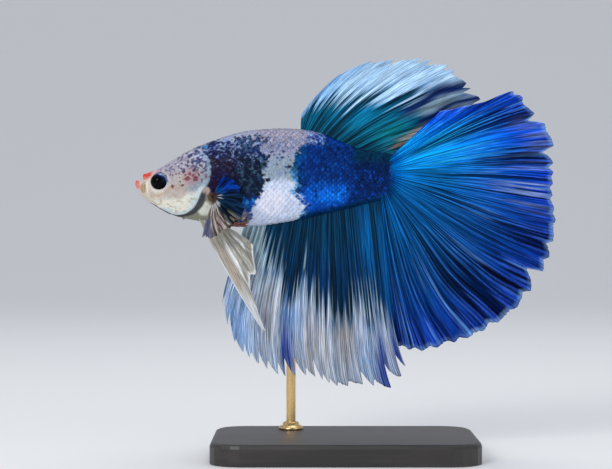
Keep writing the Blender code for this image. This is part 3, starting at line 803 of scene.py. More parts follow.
def lip_colour(tone, share, front, place):
    """Red lips, brightest at the front of each, and painted shade that darkens the mouth inside them."""
    x, y, z = place.T
    worn = grain(x, y, z, 0.35, 91.0)
    lip = smooth(0.085, 0.11, share) * (1.0 - smooth(0.18, 0.235, share))
    lip = lip * (1.0 - smooth(0.72, 0.95, front))
    longer = smooth(0.10, 0.12, share) * (1.0 - smooth(0.24, 0.29, share + 0.03 * (worn - 0.5)))
    longer = longer * (1.0 - smooth(0.60, 0.9, front)) * (z > 46.0)
    red = np.maximum(lip, longer)
    tone = blend_to(tone, LIP_RED, 0.95 * red)
    tone = blend_to(tone, (0.72, 0.20, 0.13), 0.7 * red * smooth(0.5, 0.75, worn))
    creased = 0.5 + 0.5 * np.sin(24.0 * x + 6.0 * z)
    lower = red * smooth(46.0, 45.0, z) * (x < -33.5)
    tone = blend_to(tone, (0.74, 0.40, 0.34), lower * (0.25 + 0.5 * creased))
    # Painted shade: the skin inside the mouth is darkened nearly to black.
    return blend_to(tone, (0.06, 0.012, 0.012), 0.95 * (1.0 - smooth(0.045, 0.072, share)))


make_skin()

# %% [markdown]
# ## The scales
#
# A betta's flank carries some thirty rows of rounded scales that overlap like roof tiles, each
# sunk in the skin in front and free behind. Bump alone would shade them but leave the outline
# smooth. Here one small domed plate is modelled, an Array modifier copies it, and each copy is
# then laid on the skin by the same share and turn as the skin's own rings.


# %% One domed plate
def plate_mesh():
    """A round plate one unit in radius: closed below, and domed by insets and a poke above."""
    bm = bmesh.new()
    bmesh.ops.create_circle(bm, cap_ends=True, segments=12, radius=1.0)
    grown = bmesh.ops.extrude_face_region(bm, geom=bm.faces[:])["geom"]
    top = [item for item in grown if isinstance(item, bmesh.types.BMFace)]
    rise = [vertex for vertex in top[0].verts]
    bmesh.ops.translate(bm, verts=rise, vec=(0.0, 0.0, 0.5))
    bmesh.ops.inset_region(bm, faces=top, thickness=0.28, depth=0.28)
    bmesh.ops.inset_region(bm, faces=top, thickness=0.36, depth=0.12)
    bmesh.ops.poke(bm, faces=top, offset=0.04)
    bmesh.ops.recalc_face_normals(bm, faces=bm.faces)
    bm.loops.layers.uv.new("OFBake")
    return to_mesh(bm, "plate")


def copied(mesh, count):
    """The same mesh count times over, in one mesh."""
    helper = bpy.data.objects.new("helper", mesh)
    bpy.context.collection.objects.link(helper)
    array = helper.modifiers.new("copies", "ARRAY")
    array.use_relative_offset = False
    array.count = count
    graph = bpy.context.evaluated_depsgraph_get()
    made = bpy.data.meshes.new_from_object(helper.evaluated_get(graph))
    bpy.data.objects.remove(helper)
    return made


plate = plate_mesh()
print("one plate has", len(plate.polygons), "faces")


# %% Where each scale is rooted
SCALE_ROWS = 70
SCALE_PITCH = 0.93
SCALE_LENGTH = 0.80
SCALE_WIDTH = 1.12


def scale_places(side):
    """Share, turn, length and width of each scale on one flank, as arrays."""
    shares = np.linspace(0.2, 0.96, 600)
    flank_x = ring_point(shares, np.full(shares.shape, FLANK))[:, 0]
    made = []
    for row in range(1, SCALE_ROWS // 2):
        turn = row / SCALE_ROWS + 0.002
        if side < 0:
            turn = 1.0 - turn
        x = -29.6 + (row % 2) * SCALE_PITCH / 2
        while x < 8.2:
            pitch = SCALE_PITCH * float(1.0 - 0.38 * smooth(-6.0, 7.0, x))
            wander = 0.14 * (float(chance(row, round(x * 7), side)) - 0.5)
            share = float(np.interp(x + wander, flank_x, shares))
            made.append((share, turn + 0.0020 * (float(chance(x, row)) - 0.5), pitch))
            x += pitch
    share, turn, pitch = np.array(made).T
    place = ring_point(share, turn)
    keep, size = scale_cover(place[:, 0], place[:, 2])
    keep = keep & (np.abs(place[:, 1]) > 0.15)
    return share[keep], turn[keep], pitch[keep] * size[keep]


def scale_cover(x, z):
    """Which places bear a scale, and how large it is beside those of the flank."""
    gill = -off_line(GILL_EDGE, x, z)
    trunk = (gill < -0.55) & ((z > 42.6) | (x > -20.8))
    crown = (z > 47.6 + 0.30 * (x + 30.0)) & (x > -28.2) & (gill > 0.5)
    root_pad = np.hypot((x + 21.9) / 1.5, (z - 43.6) / 1.9) < 1.0
    size = np.where(trunk, 1.0, 0.85)
    return (trunk | crown) & ~root_pad, size


for side in (-1, 1):
    print("scales on flank", side, "are", len(scale_places(side)[0]))


# %% Colour and unwrap of the scales
def cored(share, reach):
    """A layer's share over one scale: it fills the core first, and the rim last."""
    return smooth(-0.25, 0.25, share * 1.8 - 0.25 - reach)


def varied(share, luck):
    """The same share, but a lucky scale has more of the layer where it is neither all nor none."""
    return share + 1.8 * (luck - 0.5) * share * (1.0 - share)


def scale_colours(points, ahead, beside, high):
    """Markings scale by scale: pale scales have dark cores, and blue ones a bright dash."""
    root = points.mean(axis=1)
    luck = chance(root[:, 0] * 3.1, root[:, 2] * 5.3)[:, None]
    other = chance(root[:, 0] * 7.7, root[:, 2] * 2.9)[:, None]
    x, y, z = np.moveaxis(points + 0.35 * (root[:, None, :] - points), -1, 0)
    dark_share = dark_layer(x, y, z)[1]
    blue_share = blue_layer(x, y, z)[1]
    reach = np.hypot(ahead - 0.3, 0.95 * beside)
    dark_at = cored(varied(dark_share, luck), reach)
    blue_at = cored(varied(blue_share, other), reach)
    made = marking(x, y, z, dark_at, blue_at)
    rim = np.clip(ahead * ahead + beside * beside, 0.0, 1.0)
    dash = np.exp(-(((ahead - 0.45) / 0.22) ** 2)) * np.exp(-((beside / 0.8) ** 2))
    covered = np.clip(blue_at * blue_share, 0.0, 1.0)
    flash = smooth(0.82, 0.95, other) * dark_at * dark_share * (1.0 - covered)
    made[..., :3] = blend_to(made[..., :3], (0.05, 0.12, 0.30), 0.6 * flash * smooth(0.4, 0.9, reach))
    net = smooth(49.8, 51.2, z) * smooth(-16.0, -13.0, x) * smooth(-4.0, -7.0, x)
    shade = 1.04 - (0.10 + 0.45 * net) * rim**3 + 0.14 * (luck - 0.5)
    shade = shade * (1.0 + 0.8 * (luck - 0.5) * dark_at)
    blue_shade = 0.60 + (0.35 + 1.6 * other**2) * dash + 0.3 * (luck - 0.5)
    shade = shade + (blue_shade - shade) * covered
    edge_tone = np.where(root[:, 0] > -22.5, 0.74, 0.93)[:, None]
    white = smooth(48.0, 45.5, z) * (1.0 - covered) * (1.0 - dark_at * dark_share)
    edge_tone = edge_tone + 0.18 * white
    made[..., :3] *= np.where(high > 0.1, shade, edge_tone)[..., None]
    return made


def unwrap_scales(mesh, share, turn, ahead, beside):
    """Each scale is a small patch at its root's place on the skin's own unwrap."""
    row = np.interp(share, SPREAD_SHARES, SPREAD_ROWS)
    flat = np.stack(
        [turn[:, None] + 0.0015 * beside, row[:, None] + 0.0015 * ahead],
        axis=-1,
    ).reshape(-1, 2)
    lay_flat(mesh, "OFBake", flat)


print("a rim's share of a layer that half covers it:", cored(0.5, 1.0))


# %% Lay the scales on the skin
def lay_scales(name, side):
    share, turn, size = scale_places(side)
    plain = ring_point(share, turn)
    lift = relief(plain[:, 0], plain[:, 1], plain[:, 2])
    out = ring_normal(share, turn)
    rear = ring_point(share + 0.002, turn) - plain
    rear /= np.linalg.norm(rear, axis=1, keepdims=True)
    over = np.cross(out, rear)
    narrow = ring_point(share, turn + 0.5 / SCALE_ROWS) - ring_point(share, turn - 0.5 / SCALE_ROWS)
    row_gap = np.linalg.norm(narrow, axis=1)
    length = SCALE_LENGTH * size
    width = SCALE_WIDTH * row_gap * np.where(size > 0.95 * SCALE_PITCH, 1.0, 0.95)
    on_head = plain[:, 0] + 0.5 * (plain[:, 2] - 50.0) < -22.6
    stand = np.where(on_head, 0.05, 0.080)

    mesh = copied(plate, len(share))
    mesh.name = name
    local = points_of(mesh) * MM
    count = len(local) // len(share)
    local = local.reshape(len(share), count, 3)
    ahead, beside, high = local[..., 0], local[..., 1], local[..., 2]
    tilt = -0.055 + stand[:, None] * (0.5 + 0.5 * ahead) + 0.030 * high
    curl = -0.5 * (beside * width[:, None]) ** 2 * 0.12
    points = (
        (plain + out * lift[:, None])[:, None, :]
        + rear[:, None, :] * (ahead * length[:, None])[..., None]
        + over[:, None, :] * (beside * width[:, None])[..., None]
        + out[:, None, :] * (tilt + curl)[..., None]
    )
    move_points(mesh, points.reshape(-1, 3))
    colour_points(mesh, scale_colours(points, ahead, beside, high).reshape(-1, 4))
    unwrap_scales(mesh, share, turn, ahead, beside)
    return as_piece(mesh, name, scale_finish, "marbled_scales")


lay_scales("scales_left", -1)
lay_scales("scales_right", 1)

# %% [markdown]
# ## The fins
#
# A halfmoon's fins are membranes on rays that fork twice on their way out, so their edges are
# ragged where the ray ends pass the skin between them. Cloth simulation could fold such a sheet,
# but it would let it hang, and a swimming fin is held open by its rays. So each fin is a grid on
# ray lines: a few rays are listed one by one, and the rest are blended between them.


# %% A fin's rays, folds and ragged edge
class Fin:
    """Across runs from the first ray to the last, and along from the root to the tips."""

    def __init__(self, root, tips, spikes, rays, pleats, pleat_depth, fall=0.015, hook=0.0):
        self.root = root
        self.tips = tips
        self.marks, self.cuts = spikes.T
        self.rays = rays
        self.pleats = pleats
        self.pleat_depth = pleat_depth
        self.fall = fall
        self.hook = hook

    def edge(self, across):
        """The share of its full length that the membrane has: 1 on a spike, less past it."""
        spike = np.searchsorted(self.marks, across, side="right") - 1
        spike = np.clip(spike, 0, len(self.marks) - 2)
        gap = self.marks[spike + 1] - self.marks[spike]
        part = np.clip(across - self.marks[spike], 0.0, gap)
        fall = np.minimum(self.fall, 0.5 * gap)
        cut = np.where(part < fall, part / fall, ((gap - part) / (gap - fall)) ** 1.5)
        frayed = 0.016 * grain(across * 300.0, 0.5, 0.0, 1.0, 5.0) * np.clip(across * 9.0, 0.0, 1.0)
        return 1.0 - self.cuts[spike] * cut - frayed * np.minimum(cut + 0.2, 1.0)

    def ripples(self, across):
        """Uneven folds, from -1 in a valley to 1 on a crest."""
        turn = 2 * math.pi * self.pleats * across
        wave = np.sin(2.63 * turn + 2.0 * np.sin(9.0 * across))
        return 0.75 * wave + 0.25 * np.sin(4.7 * turn + 3.0 * np.sin(14.0 * across))

    def folds(self, across, along):
        """How far the membrane bends sideways, in millimetres: pleats, and ripples on them."""
        bend = np.clip(along, 0.0, 1.0)
        pleat = np.cos(2 * math.pi * self.pleats * across) * self.pleat_depth
        wander = 0.05 * np.sin(7.0 * bend + 11.0 * across) * bend
        return pleat * bend**1.3 + 0.55 * self.pleat_depth * self.ripples(across + wander * 0.2) * bend

    def forks(self, across, along):
        """1 on a ray and -1 between rays: each ray forks in two, and each of those again."""
        turn = 2 * math.pi * self.rays * across
        first = smooth(0.28, 0.45, along)
        second = smooth(0.58, 0.75, along)
        once = np.cos(turn) * (1.0 - first) - np.cos(2 * turn) * first
        return once * (1.0 - second) - np.cos(4 * turn) * second

    def point(self, across, along):
        """A place of the middle of the membrane in millimetres."""
        root_x, root_y, root_z = self.root(across)
        tip_x, tip_z, bow, lean = np.moveaxis(through(self.tips, across), -1, 0)
        run_x, run_z = tip_x - root_x, tip_z - root_z
        reach = np.where(along > 0.0, along * self.edge(across), along)
        bulge = reach * (1 - reach) * (2 * bow + 4 * self.hook * reach * reach)
        return np.stack(
            [
                root_x + run_x * reach - run_z * bulge,
                root_y + lean * reach + self.folds(across, along),
                root_z + run_z * reach + run_x * bulge,
            ],
            axis=-1,
        )


def sway(across, along):
    """The lane of a point. Rays are not quite straight, so the lanes wander a little."""
    slow = grain(across * 7.0, along * 2.0, 0.0, 1.0, 35.0) - 0.5
    quick = grain(across * 26.0, along * 3.5, 0.0, 1.0, 36.0) - 0.5
    return across + (0.030 * slow + 0.010 * quick) * np.clip(along, 0.0, 1.0)


print("a lane's wander at mid fin:", round(float(sway(0.4, 0.7)) - 0.4, 4))


# %% Roots of the fins
GAP = 0.3


def on_line(line, x):
    return np.interp(x, line[:, 0], line[:, 2])


def dorsal_root(across):
    x = -7.3 + 15.2 * across**1.85
    return x, 0.0, on_line(BACK_LINE, x) + GAP - 0.9 * smooth(0.78, 0.95, across)


def anal_root(across):
    x = -16.9 + 22.9 * across
    return x, 0.0, on_line(BELLY_LINE, x) - GAP - 0.1


def caudal_root(across):
    """A shallow arc round the end of the tail stalk."""
    start, middle, end = (7.9, 50.2), (9.3, 46.6), (5.9, 42.9)
    rest = 1.0 - across
    return (
        rest * rest * start[0] + 2 * rest * across * middle[0] + across * across * end[0],
        0.0,
        rest * rest * start[1] + 2 * rest * across * middle[1] + across * across * end[1],
    )


def pelvic_root(side):
    def root(across):
        x = -23.7 + 4.0 * across
        return x, side * 1.15, on_line(BELLY_LINE, x) - 0.55 + 0.4 * across

    return root


def pectoral_root(side):
    def root(across):
        turn = np.radians(60 - 150 * across)
        return -21.75 + 0.55 * np.cos(turn), side * 4.2, 43.1 + 0.85 * np.sin(turn)

    return root


def evenly(count, cut):
    """Spikes at even steps along the edge, with uneven cuts between them."""
    return np.array([(k / count, cut * (0.3 + 1.6 * chance(k, 2.0))) for k in range(count + 1)])


def named(tips, spikes):
    """Spikes given by place: how far along the edge each stands, and the cut past it."""
    share = np.linspace(0.0, 1.0, 1601)
    edge = through(tips, share)[:, :2]
    marks = [(share[np.argmin(np.hypot(*(edge - (x, z)).T))], cut) for x, z, cut in spikes]
    return np.array([(0.0, 0.0)] + marks + [(1.0, 0.0)])


def mirrored(tips):
    return tuple((x, z, bow, -lean) for x, z, bow, lean in tips)


print("the dorsal fin starts at", dorsal_root(0.0), "and ends at", dorsal_root(1.0))

# %% Tips of the fins
# Each row is a tip's x and z, the bow of its ray, and its lean off the middle plane.
DORSAL_TIPS = (
    (-7.20, 57.0, 0.02, 0.0),
    (-4.70, 60.0, 0.10, -0.1),
    (-0.70, 63.6, 0.13, -0.3),
    (4.60, 65.8, 0.13, -0.2),
    (8.60, 66.0, 0.12, 0.2),
    (12.90, 66.3, 0.11, 0.5),
    (17.40, 65.1, 0.10, 0.7),
    (21.10, 61.4, 0.08, 1.1),
    (22.80, 59.4, 0.05, 1.6),
    (20.40, 54.6, 0.01, 2.3),
    (16.00, 50.6, 0.00, 2.6),
)
ANAL_TIPS = (
    (-20.40, 25.0, -0.02, 0.2),
    (-18.20, 18.9, -0.04, -0.4),
    (-14.60, 15.5, -0.06, 0.3),
    (-10.20, 13.3, -0.06, 0.5),
    (-5.60, 13.4, -0.05, -0.2),
    (-1.10, 11.7, -0.03, -0.6),
    (3.60, 11.9, -0.02, 0.1),
    (7.90, 11.4, -0.03, -0.7),
    (10.10, 15.0, -0.03, -1.9),
)
CAUDAL_TIPS = (
    (15.90, 57.40, 0.00, -1.8),
    (22.70, 58.80, 0.02, -2.0),
    (28.00, 60.60, 0.02, -1.5),
    (31.20, 57.60, 0.02, -0.6),
    (34.80, 53.00, 0.02, 0.6),
    (34.90, 47.20, 0.01, 1.0),
    (34.90, 42.60, 0.00, 0.4),
    (35.10, 37.60, 0.00, -0.6),
    (33.60, 32.20, 0.00, -1.1),
    (30.70, 27.00, -0.01, -0.5),
    (25.50, 22.00, -0.01, 0.6),
    (19.10, 19.00, -0.02, 1.4),
    (13.20, 17.40, -0.03, 1.7),
    (8.90, 18.10, -0.03, 1.5),
)
PELVIC_LEFT_TIPS = (
    (-13.25, 20.60, -0.035, -1.9),
    (-13.20, 21.20, -0.025, -1.7),
    (-14.60, 25.20, -0.01, -1.6),
    (-15.60, 29.20, 0.00, -1.5),
    (-14.70, 30.60, 0.04, -1.4),
    (-15.20, 35.30, 0.10, -1.1),
)
PELVIC_RIGHT_TIPS = (
    (-15.70, 24.40, -0.01, -1.9),
    (-15.60, 25.00, 0.00, -1.7),
    (-16.50, 27.40, -0.06, -1.6),
    (-17.10, 29.60, -0.03, -1.5),
    (-16.60, 30.60, 0.02, -1.4),
    (-17.80, 35.30, 0.04, -1.1),
)
PECTORAL_TIPS = (
    (-20.10, 46.30, 0.04, -0.7),
    (-18.90, 46.30, 0.06, -1.2),
    (-17.30, 44.90, 0.06, -1.9),
    (-16.60, 42.60, 0.05, -2.4),
    (-16.60, 40.30, 0.02, -2.4),
    (-18.10, 38.70, -0.02, -1.9),
    (-19.80, 37.60, -0.04, -1.2),
    (-21.60, 36.30, -0.05, -0.8),
    (-23.45, 36.40, -0.06, -0.6),
)
print("the tail's tips are", len(CAUDAL_TIPS))

# %% Spikes along the ragged edges
# Each row is a spike's x and z, and the share of the ray that is cut away past it.
DORSAL_SPIKES = (
    (-3.8, 60.6, 0.012),
    (-0.7, 63.55, 0.030),
    (1.6, 64.5, 0.012),
    (4.5, 65.9, 0.060),
    (8.35, 65.9, 0.105),
    (10.6, 65.9, 0.045),
    (13.0, 66.4, 0.085),
    (14.6, 65.9, 0.085),
    (17.3, 65.1, 0.055),
    (18.0, 64.0, 0.030),
    (20.5, 62.2, 0.035),
    (21.1, 61.3, 0.065),
    (22.9, 59.5, 0.060),
    (22.6, 58.0, 0.040),
    (20.5, 54.6, 0.040),
)
ANAL_SPIKES = (
    (-20.4, 25.0, 0.150),
    (-19.2, 22.0, 0.140),
    (-17.9, 19.2, 0.030),
    (-16.75, 17.3, 0.070),
    (-15.6, 16.5, 0.050),
    (-13.9, 15.8, 0.080),
    (-12.6, 14.8, 0.060),
    (-10.9, 13.9, 0.080),
    (-9.75, 13.6, 0.110),
    (-8.2, 13.9, 0.110),
    (-6.4, 13.6, 0.040),
    (-4.75, 13.4, 0.110),
    (-3.6, 12.6, 0.040),
    (-2.4, 12.3, 0.025),
    (-1.1, 12.0, 0.020),
    (0.6, 11.8, 0.020),
    (3.1, 12.1, 0.070),
    (5.1, 12.2, 0.035),
    (7.75, 11.5, 0.120),
    (9.4, 13.5, 0.110),
)
CAUDAL_SPIKES = (
    (16.8, 57.6, 0.030),
    (19.2, 58.2, 0.015),
    (22.8, 59.1, 0.012),
    (25.6, 60.0, 0.008),
    (28.0, 60.6, 0.020),
    (29.6, 59.7, 0.016),
    (31.6, 57.0, 0.066),
    (33.2, 55.2, 0.014),
    (34.5, 51.7, 0.062),
    (34.4, 48.9, 0.018),
    (34.7, 47.2, 0.008),
    (34.8, 45.4, 0.014),
    (34.7, 43.4, 0.012),
    (34.8, 41.0, 0.010),
    (35.1, 39.2, 0.010),
    (34.8, 35.8, 0.030),
    (33.7, 33.2, 0.020),
    (32.6, 30.9, 0.085),
    (30.6, 27.8, 0.030),
    (28.2, 25.2, 0.012),
    (25.2, 22.8, 0.026),
    (22.8, 21.4, 0.010),
    (20.3, 20.2, 0.018),
    (18.2, 19.4, 0.022),
    (15.4, 18.4, 0.012),
    (12.8, 17.7, 0.016),
    (10.8, 17.9, 0.012),
)
print("spikes:", len(DORSAL_SPIKES), len(ANAL_SPIKES), len(CAUDAL_SPIKES))

# %% The seven fins
FINS = {
    "fin_dorsal": Fin(dorsal_root, DORSAL_TIPS, named(DORSAL_TIPS, DORSAL_SPIKES), 24, 5, 0.35, 0.012),
    "fin_anal": Fin(anal_root, ANAL_TIPS, named(ANAL_TIPS, ANAL_SPIKES), 27, 7, 0.45, 0.008, -0.05),
    "fin_caudal": Fin(caudal_root, CAUDAL_TIPS, named(CAUDAL_TIPS, CAUDAL_SPIKES), 34, 9, 0.60, 0.012),
    "fin_pelvic_left": Fin(pelvic_root(-1), PELVIC_LEFT_TIPS, evenly(5, 0.03), 5, 1.5, 0.15, 0.1),
    "fin_pelvic_right": Fin(
        pelvic_root(1), mirrored(PELVIC_RIGHT_TIPS), evenly(5, 0.03), 5, 1.5, 0.15, 0.1
    ),
    "fin_pectoral_left": Fin(pectoral_root(-1), PECTORAL_TIPS, evenly(11, 0.05), 11, 3, 0.12, 0.045),
    "fin_pectoral_right": Fin(
        pectoral_root(1), mirrored(PECTORAL_TIPS), evenly(11, 0.05), 11, 3, 0.12, 0.045
    ),
}
print("fins:", ", ".join(FINS))

# %% [markdown]
# ## Colours of the fins
#
# On a marble betta each fin has its own zones: the tail is blue to its edge, the dorsal and anal
# fins are dark blue near the body and milky beyond, and the pelvic fins are cream. Along the
# rays the tones break into streaks, so each zone is a named tone, or a blend of a few, that
# stretched grain darkens and lightens. u is the share across a fin, and v the share along it.
# Every tone takes the fin itself too, because the anal fin's asks it where the rays are.


# %% Streaks along the rays, and patches
def streaks(across, along, count, seed=0.0):
    """Grain from 0 to 1 that is drawn out along the rays."""
    coarse = grain(across * count, along * 1.8, 0.0, 1.0, seed)
    fine = grain(across * count * 2.7, along * 3.2, 3.0, 1.0, seed + 1.0)
    return smooth(0.25, 0.75, 0.55 * coarse + 0.45 * fine)


def hairs(across, along, count, low, seed=0.0):
    """Thin lines along the rays: 1 on a line, and fewer lines the nearer low is to 1."""
    return smooth(low, low + 0.16, grain(across * count, along * 2.0, 1.0, 1.0, seed))


def patch(across, along, place, size):
    """1 in the middle of an oval patch on a fin, and 0 away from it."""
    first = (across - place[0]) / size[0]
    second = (along - place[1]) / size[1]
    return np.exp(-first * first - second * second)


def times(tone, factor):
    """A tone, or an array of tones, made darker or lighter point by point."""
    return np.asarray(tone) * factor[:, None]


print("a hair line somewhere:", hairs(np.linspace(0, 1, 5), 0.5, 300, 0.6).round(2))


# %% Tones of the tail fin
AZURE = (0.001, 0.30, 0.95)
TEAL = (0.001, 0.095, 0.31)
ROYAL = (0.003, 0.060, 0.66)
INK = (0.002, 0.026, 0.215)


def tail_ground(u, v):
    """Azure by the upper root, teal below it, royal blue at the upper edge and ink at the lower."""
    upper = smooth(0.62, 0.12, u)
    inner = blend_to(layer(TEAL, u), AZURE, upper)
    inner = blend_to(inner, AZURE, 0.75 * patch(u, v, (0.36, 0.0), (0.20, 0.24)))
    outer = blend_to(layer(INK, u), ROYAL, upper)
    tone = blend_to(inner, outer, smooth(0.15, 1.0, v))
    corner = patch(u, v, (0.0, 0.0), (0.10, 0.18))
    return times(tone, (1.0 - 0.40 * corner) * (1.0 - 0.28 * patch(u, v, (0.78, 0.45), (0.13, 0.35))))


def caudal_tone(fin, u, v):
    streak = streaks(u, v, 100, 41.0)
    plain = tail_ground(u, v)
    tone = times(plain, 0.46 + 1.15 * streak)
    # Painted shade: dark lines out from the root where the membrane folds.
    fold_shade = hairs(u, 0.5 * v, 34, 0.60, 42.0) * smooth(0.0, 0.25, v)
    thin = hairs(u, v, 170, 0.56, 43.0)
    tone = times(tone, (1.0 - 0.70 * fold_shade) * (1.0 - 0.56 * thin))
    hair = hairs(u, v, 330, 0.62, 44.0) * smooth(0.0, 0.4, v)
    bright = np.minimum(2.6 * plain + 0.02, 1.0)
    tone = blend_to(tone, bright, 0.72 * hair)
    silver = hairs(u, v, 150, 0.72, 45.0) * smooth(0.35, 0.8, v)
    tone = blend_to(tone, (0.13, 0.34, 0.80), 0.50 * silver)
    pale = patch(u, v, (0.43, 0.86), (0.05, 0.18)) + 0.5 * patch(u, v, (0.29, 0.93), (0.04, 0.1))
    pale = pale * hairs(u, v, 140, 0.46, 49.0)
    tone = blend_to(tone, (0.34, 0.46, 0.78), 0.8 * pale)
    dusk = patch(u, v, (0.335, 0.86), (0.030, 0.24)) + 0.7 * patch(u, v, (0.74, 0.8), (0.03, 0.2))
    tone = times(tone, 1.0 - 0.65 * np.minimum(dusk, 1.0) * (1.0 - 0.5 * hair))
    rim = smooth(0.968, 0.995, v) * (0.35 + 0.65 * streaks(u, 0.0 * v, 60, 46.0))
    return blend_to(tone, (0.24, 0.42, 0.78), 0.75 * rim)


print("a tone in the middle of the tail:", caudal_tone(None, *np.full((2, 1), 0.4)).round(2))


# %% Tones of the dorsal fin
def dorsal_tone(fin, u, v):
    streak = streaks(u, v, 80, 51.0)
    line = hairs(u, v, 130, 0.56, 52.0)
    tone = times((0.001, 0.120, 0.230), 0.35 + 1.3 * streak)
    tone = blend_to(tone, (0.002, 0.22, 0.52), 0.7 * patch(u, v, (0.60, 0.36), (0.16, 0.2)) * streak)
    tone = blend_to(tone, (0.002, 0.16, 0.12), 0.75 * patch(u, v, (0.80, 0.28), (0.16, 0.2)) * streak)
    tone = times(tone, 1.0 - 0.70 * line)
    border = 0.38 + 0.10 * smooth(0.25, 0.05, u) + 0.20 * smooth(0.50, 0.66, u)
    border = border + 0.12 * smooth(0.69, 0.74, u)
    ragged = v - border + 0.30 * (streak - 0.5) + 0.16 * (grain(u * 12.0, v * 2.0, 0, 1, 55.0) - 0.5)
    milky = smooth(-0.08, 0.10, ragged)
    milk = times((0.51, 0.76, 1.0), 0.72 + 0.30 * streak)
    front = 0.9 * smooth(0.38, 0.16, u) * (1.0 - 0.5 * streaks(u, v, 60, 56.0))
    milk = blend_to(milk, times((0.13, 0.39, 0.78), 0.68 + 0.64 * streak), front)
    milk = blend_to(milk, (0.08, 0.30, 0.62), 0.6 * smooth(0.22, 0.0, ragged) * (1.0 - streak))
    milk = blend_to(milk, (0.22, 0.42, 0.74), 0.35 * hairs(u, v, 110, 0.62, 53.0))
    milk = blend_to(milk, (0.24, 0.32, 0.37), 0.55 * smooth(0.66, 0.72, u) * smooth(1.0, 0.8, v))
    milk = blend_to(milk, (0.20, 0.19, 0.17), 0.85 * smooth(0.77, 0.81, u) * smooth(1.0, 0.7, v))
    tone = blend_to(tone, milk, milky)
    wave = 0.012 * np.sin(14.0 * v)
    for place, width in ((0.690, 0.034), (0.785, 0.026)):
        band = np.exp(-(((u - place - wave) / width) ** 2)) * smooth(0.38, 0.55, v)
        tone = blend_to(tone, (0.001, 0.016, 0.10), band)
    sheen = patch(u, v, (0.74, 0.78), (0.020, 0.2))
    tone = blend_to(tone, (0.22, 0.34, 0.34), 0.8 * sheen)
    sand = smooth(0.81, 0.85, u + wave) * smooth(0.985, 0.94, u) * smooth(0.24, 0.46, v)
    grey = times((0.46, 0.37, 0.28), 0.05 + 1.3 * streak)
    tone = blend_to(tone, grey, 0.90 * sand * (1.0 - 0.7 * line))
    brown = smooth(0.82, 0.90, u) * smooth(0.08, 0.28, v) * hairs(u, v, 120, 0.42, 54.0)
    tone = blend_to(tone, (0.32, 0.20, 0.13), 0.8 * brown)
    dark = smooth(0.20, 0.02, v) * smooth(0.2, 0.6, u) + smooth(0.965, 0.99, u)
    return blend_to(tone, (0.0, 0.010, 0.020), 0.8 * dark * (1.0 - 0.4 * streak))


print("a tone in the pale part of the dorsal fin:", dorsal_tone(None, *np.full((2, 1), 0.5)).round(2))


# %% Tones of the anal fin
def anal_border(u):
    """How far down each ray the dark part reaches."""
    front = 0.22 * smooth(0.15, 0.21, u) - 0.25 * smooth(0.17, 0.12, u) + 0.24 * smooth(0.30, 0.40, u)
    return front + 0.10 * smooth(0.50, 0.62, u) + 0.10 * smooth(0.90, 0.97, u)


def anal_tone(fin, u, v):
    streak = streaks(u, v, 95, 61.0)
    ray = smooth(0.35, 0.9, fin.forks(u, v))
    tone = times((0.001, 0.034, 0.085), 0.55 + 0.9 * streak)
    tone = blend_to(tone, (0.001, 0.038, 0.20), 0.6 * smooth(0.12, 0.4, v) * streak)
    azure = patch(u, v, (0.88, 0.22), (0.09, 0.26)) * hairs(u, v, 110, 0.50, 64.0)
    tone = blend_to(tone, (0.001, 0.13, 0.42), 0.8 * azure)
    tone = times(tone, 1.0 - 0.6 * hairs(u, v, 190, 0.58, 65.0))
    border = anal_border(u) + 0.16 * (0.5 - streak) + 0.10 * (grain(u * 14.0, v, 0, 1, 62.0) - 0.5)
    past = v - border
    thread = ray * smooth(-0.26, -0.02, past) * smooth(0.0, 0.12, v)
    thread = thread * smooth(0.35, 0.6, grain(u * 27.0, 0.0, 0.0, 1.0, 66.0) + 0.3 * (u < 0.4))
    tone = blend_to(tone, (0.34, 0.48, 0.52), 0.60 * thread)
    milk = times((0.45, 0.54, 0.66), (0.50 + 0.60 * streak) * (1.0 + 0.16 * smooth(0.35, 0.20, u)))
    gap = hairs(u, v, 120, 0.48, 67.0) * (1.0 - 0.5 * ray)
    milk = blend_to(milk, (0.10, 0.21, 0.40), 0.70 * gap)
    milk = blend_to(milk, (0.70, 0.74, 0.78), 0.5 * ray * (1.0 - 0.5 * gap))
    teal = smooth(0.60, 0.10, v) * smooth(0.34, 0.24, u)
    shaded = times((0.20, 0.32, 0.36), 0.7 + 0.7 * streak)
    milk = blend_to(milk, shaded, 0.95 * teal * (1.0 - 0.55 * ray))
    milk = blend_to(milk, (0.03, 0.14, 0.30), 0.7 * smooth(0.18, 0.0, past) * (1.0 - ray) * (u > 0.2))
    tone = blend_to(tone, milk, smooth(-0.05, 0.07, past))
    cream = patch(u, v, (0.70, 0.68), (0.09, 0.26)) + 0.9 * patch(u, v, (0.53, 0.8), (0.06, 0.26))
    cream = np.clip(cream + 0.9 * patch(u, v, (0.30, 0.70), (0.05, 0.26)), 0.0, 1.0)
    sand = times((0.64, 0.57, 0.54), 0.40 + 0.7 * streak)
    tone = blend_to(tone, sand, 0.75 * cream * smooth(0.0, 0.1, past) * (1.0 - 0.5 * gap))
    sky = patch(u, v, (0.13, 0.88), (0.14, 0.22)) + 0.7 * patch(u, v, (0.80, 0.85), (0.05, 0.2))
    sky = sky + 0.8 * patch(u, v, (0.44, 0.70), (0.05, 0.2))
    tone = blend_to(tone, (0.09, 0.29, 0.66), 0.70 * sky * (1.0 - 0.8 * ray) * smooth(0.0, 0.1, past))
    for place, size in (
        ((0.405, 0.90), (0.026, 0.24)),
        ((0.880, 0.96), (0.040, 0.20)),
        ((0.965, 0.96), (0.020, 0.18)),
    ):
        navy = patch(u + 0.03 * (streak - 0.5), v, place, size) * (0.9 + 0.5 * streak)
        tone = blend_to(tone, (0.001, 0.026, 0.26), 0.95 * np.minimum(navy, 1.0))
    rear = smooth(0.955, 0.975, u) * smooth(0.03, 0.2, v) * smooth(0.80, 0.62, v)
    return blend_to(tone, (0.001, 0.13, 0.42), 0.85 * rear * (0.4 + 0.6 * streak))


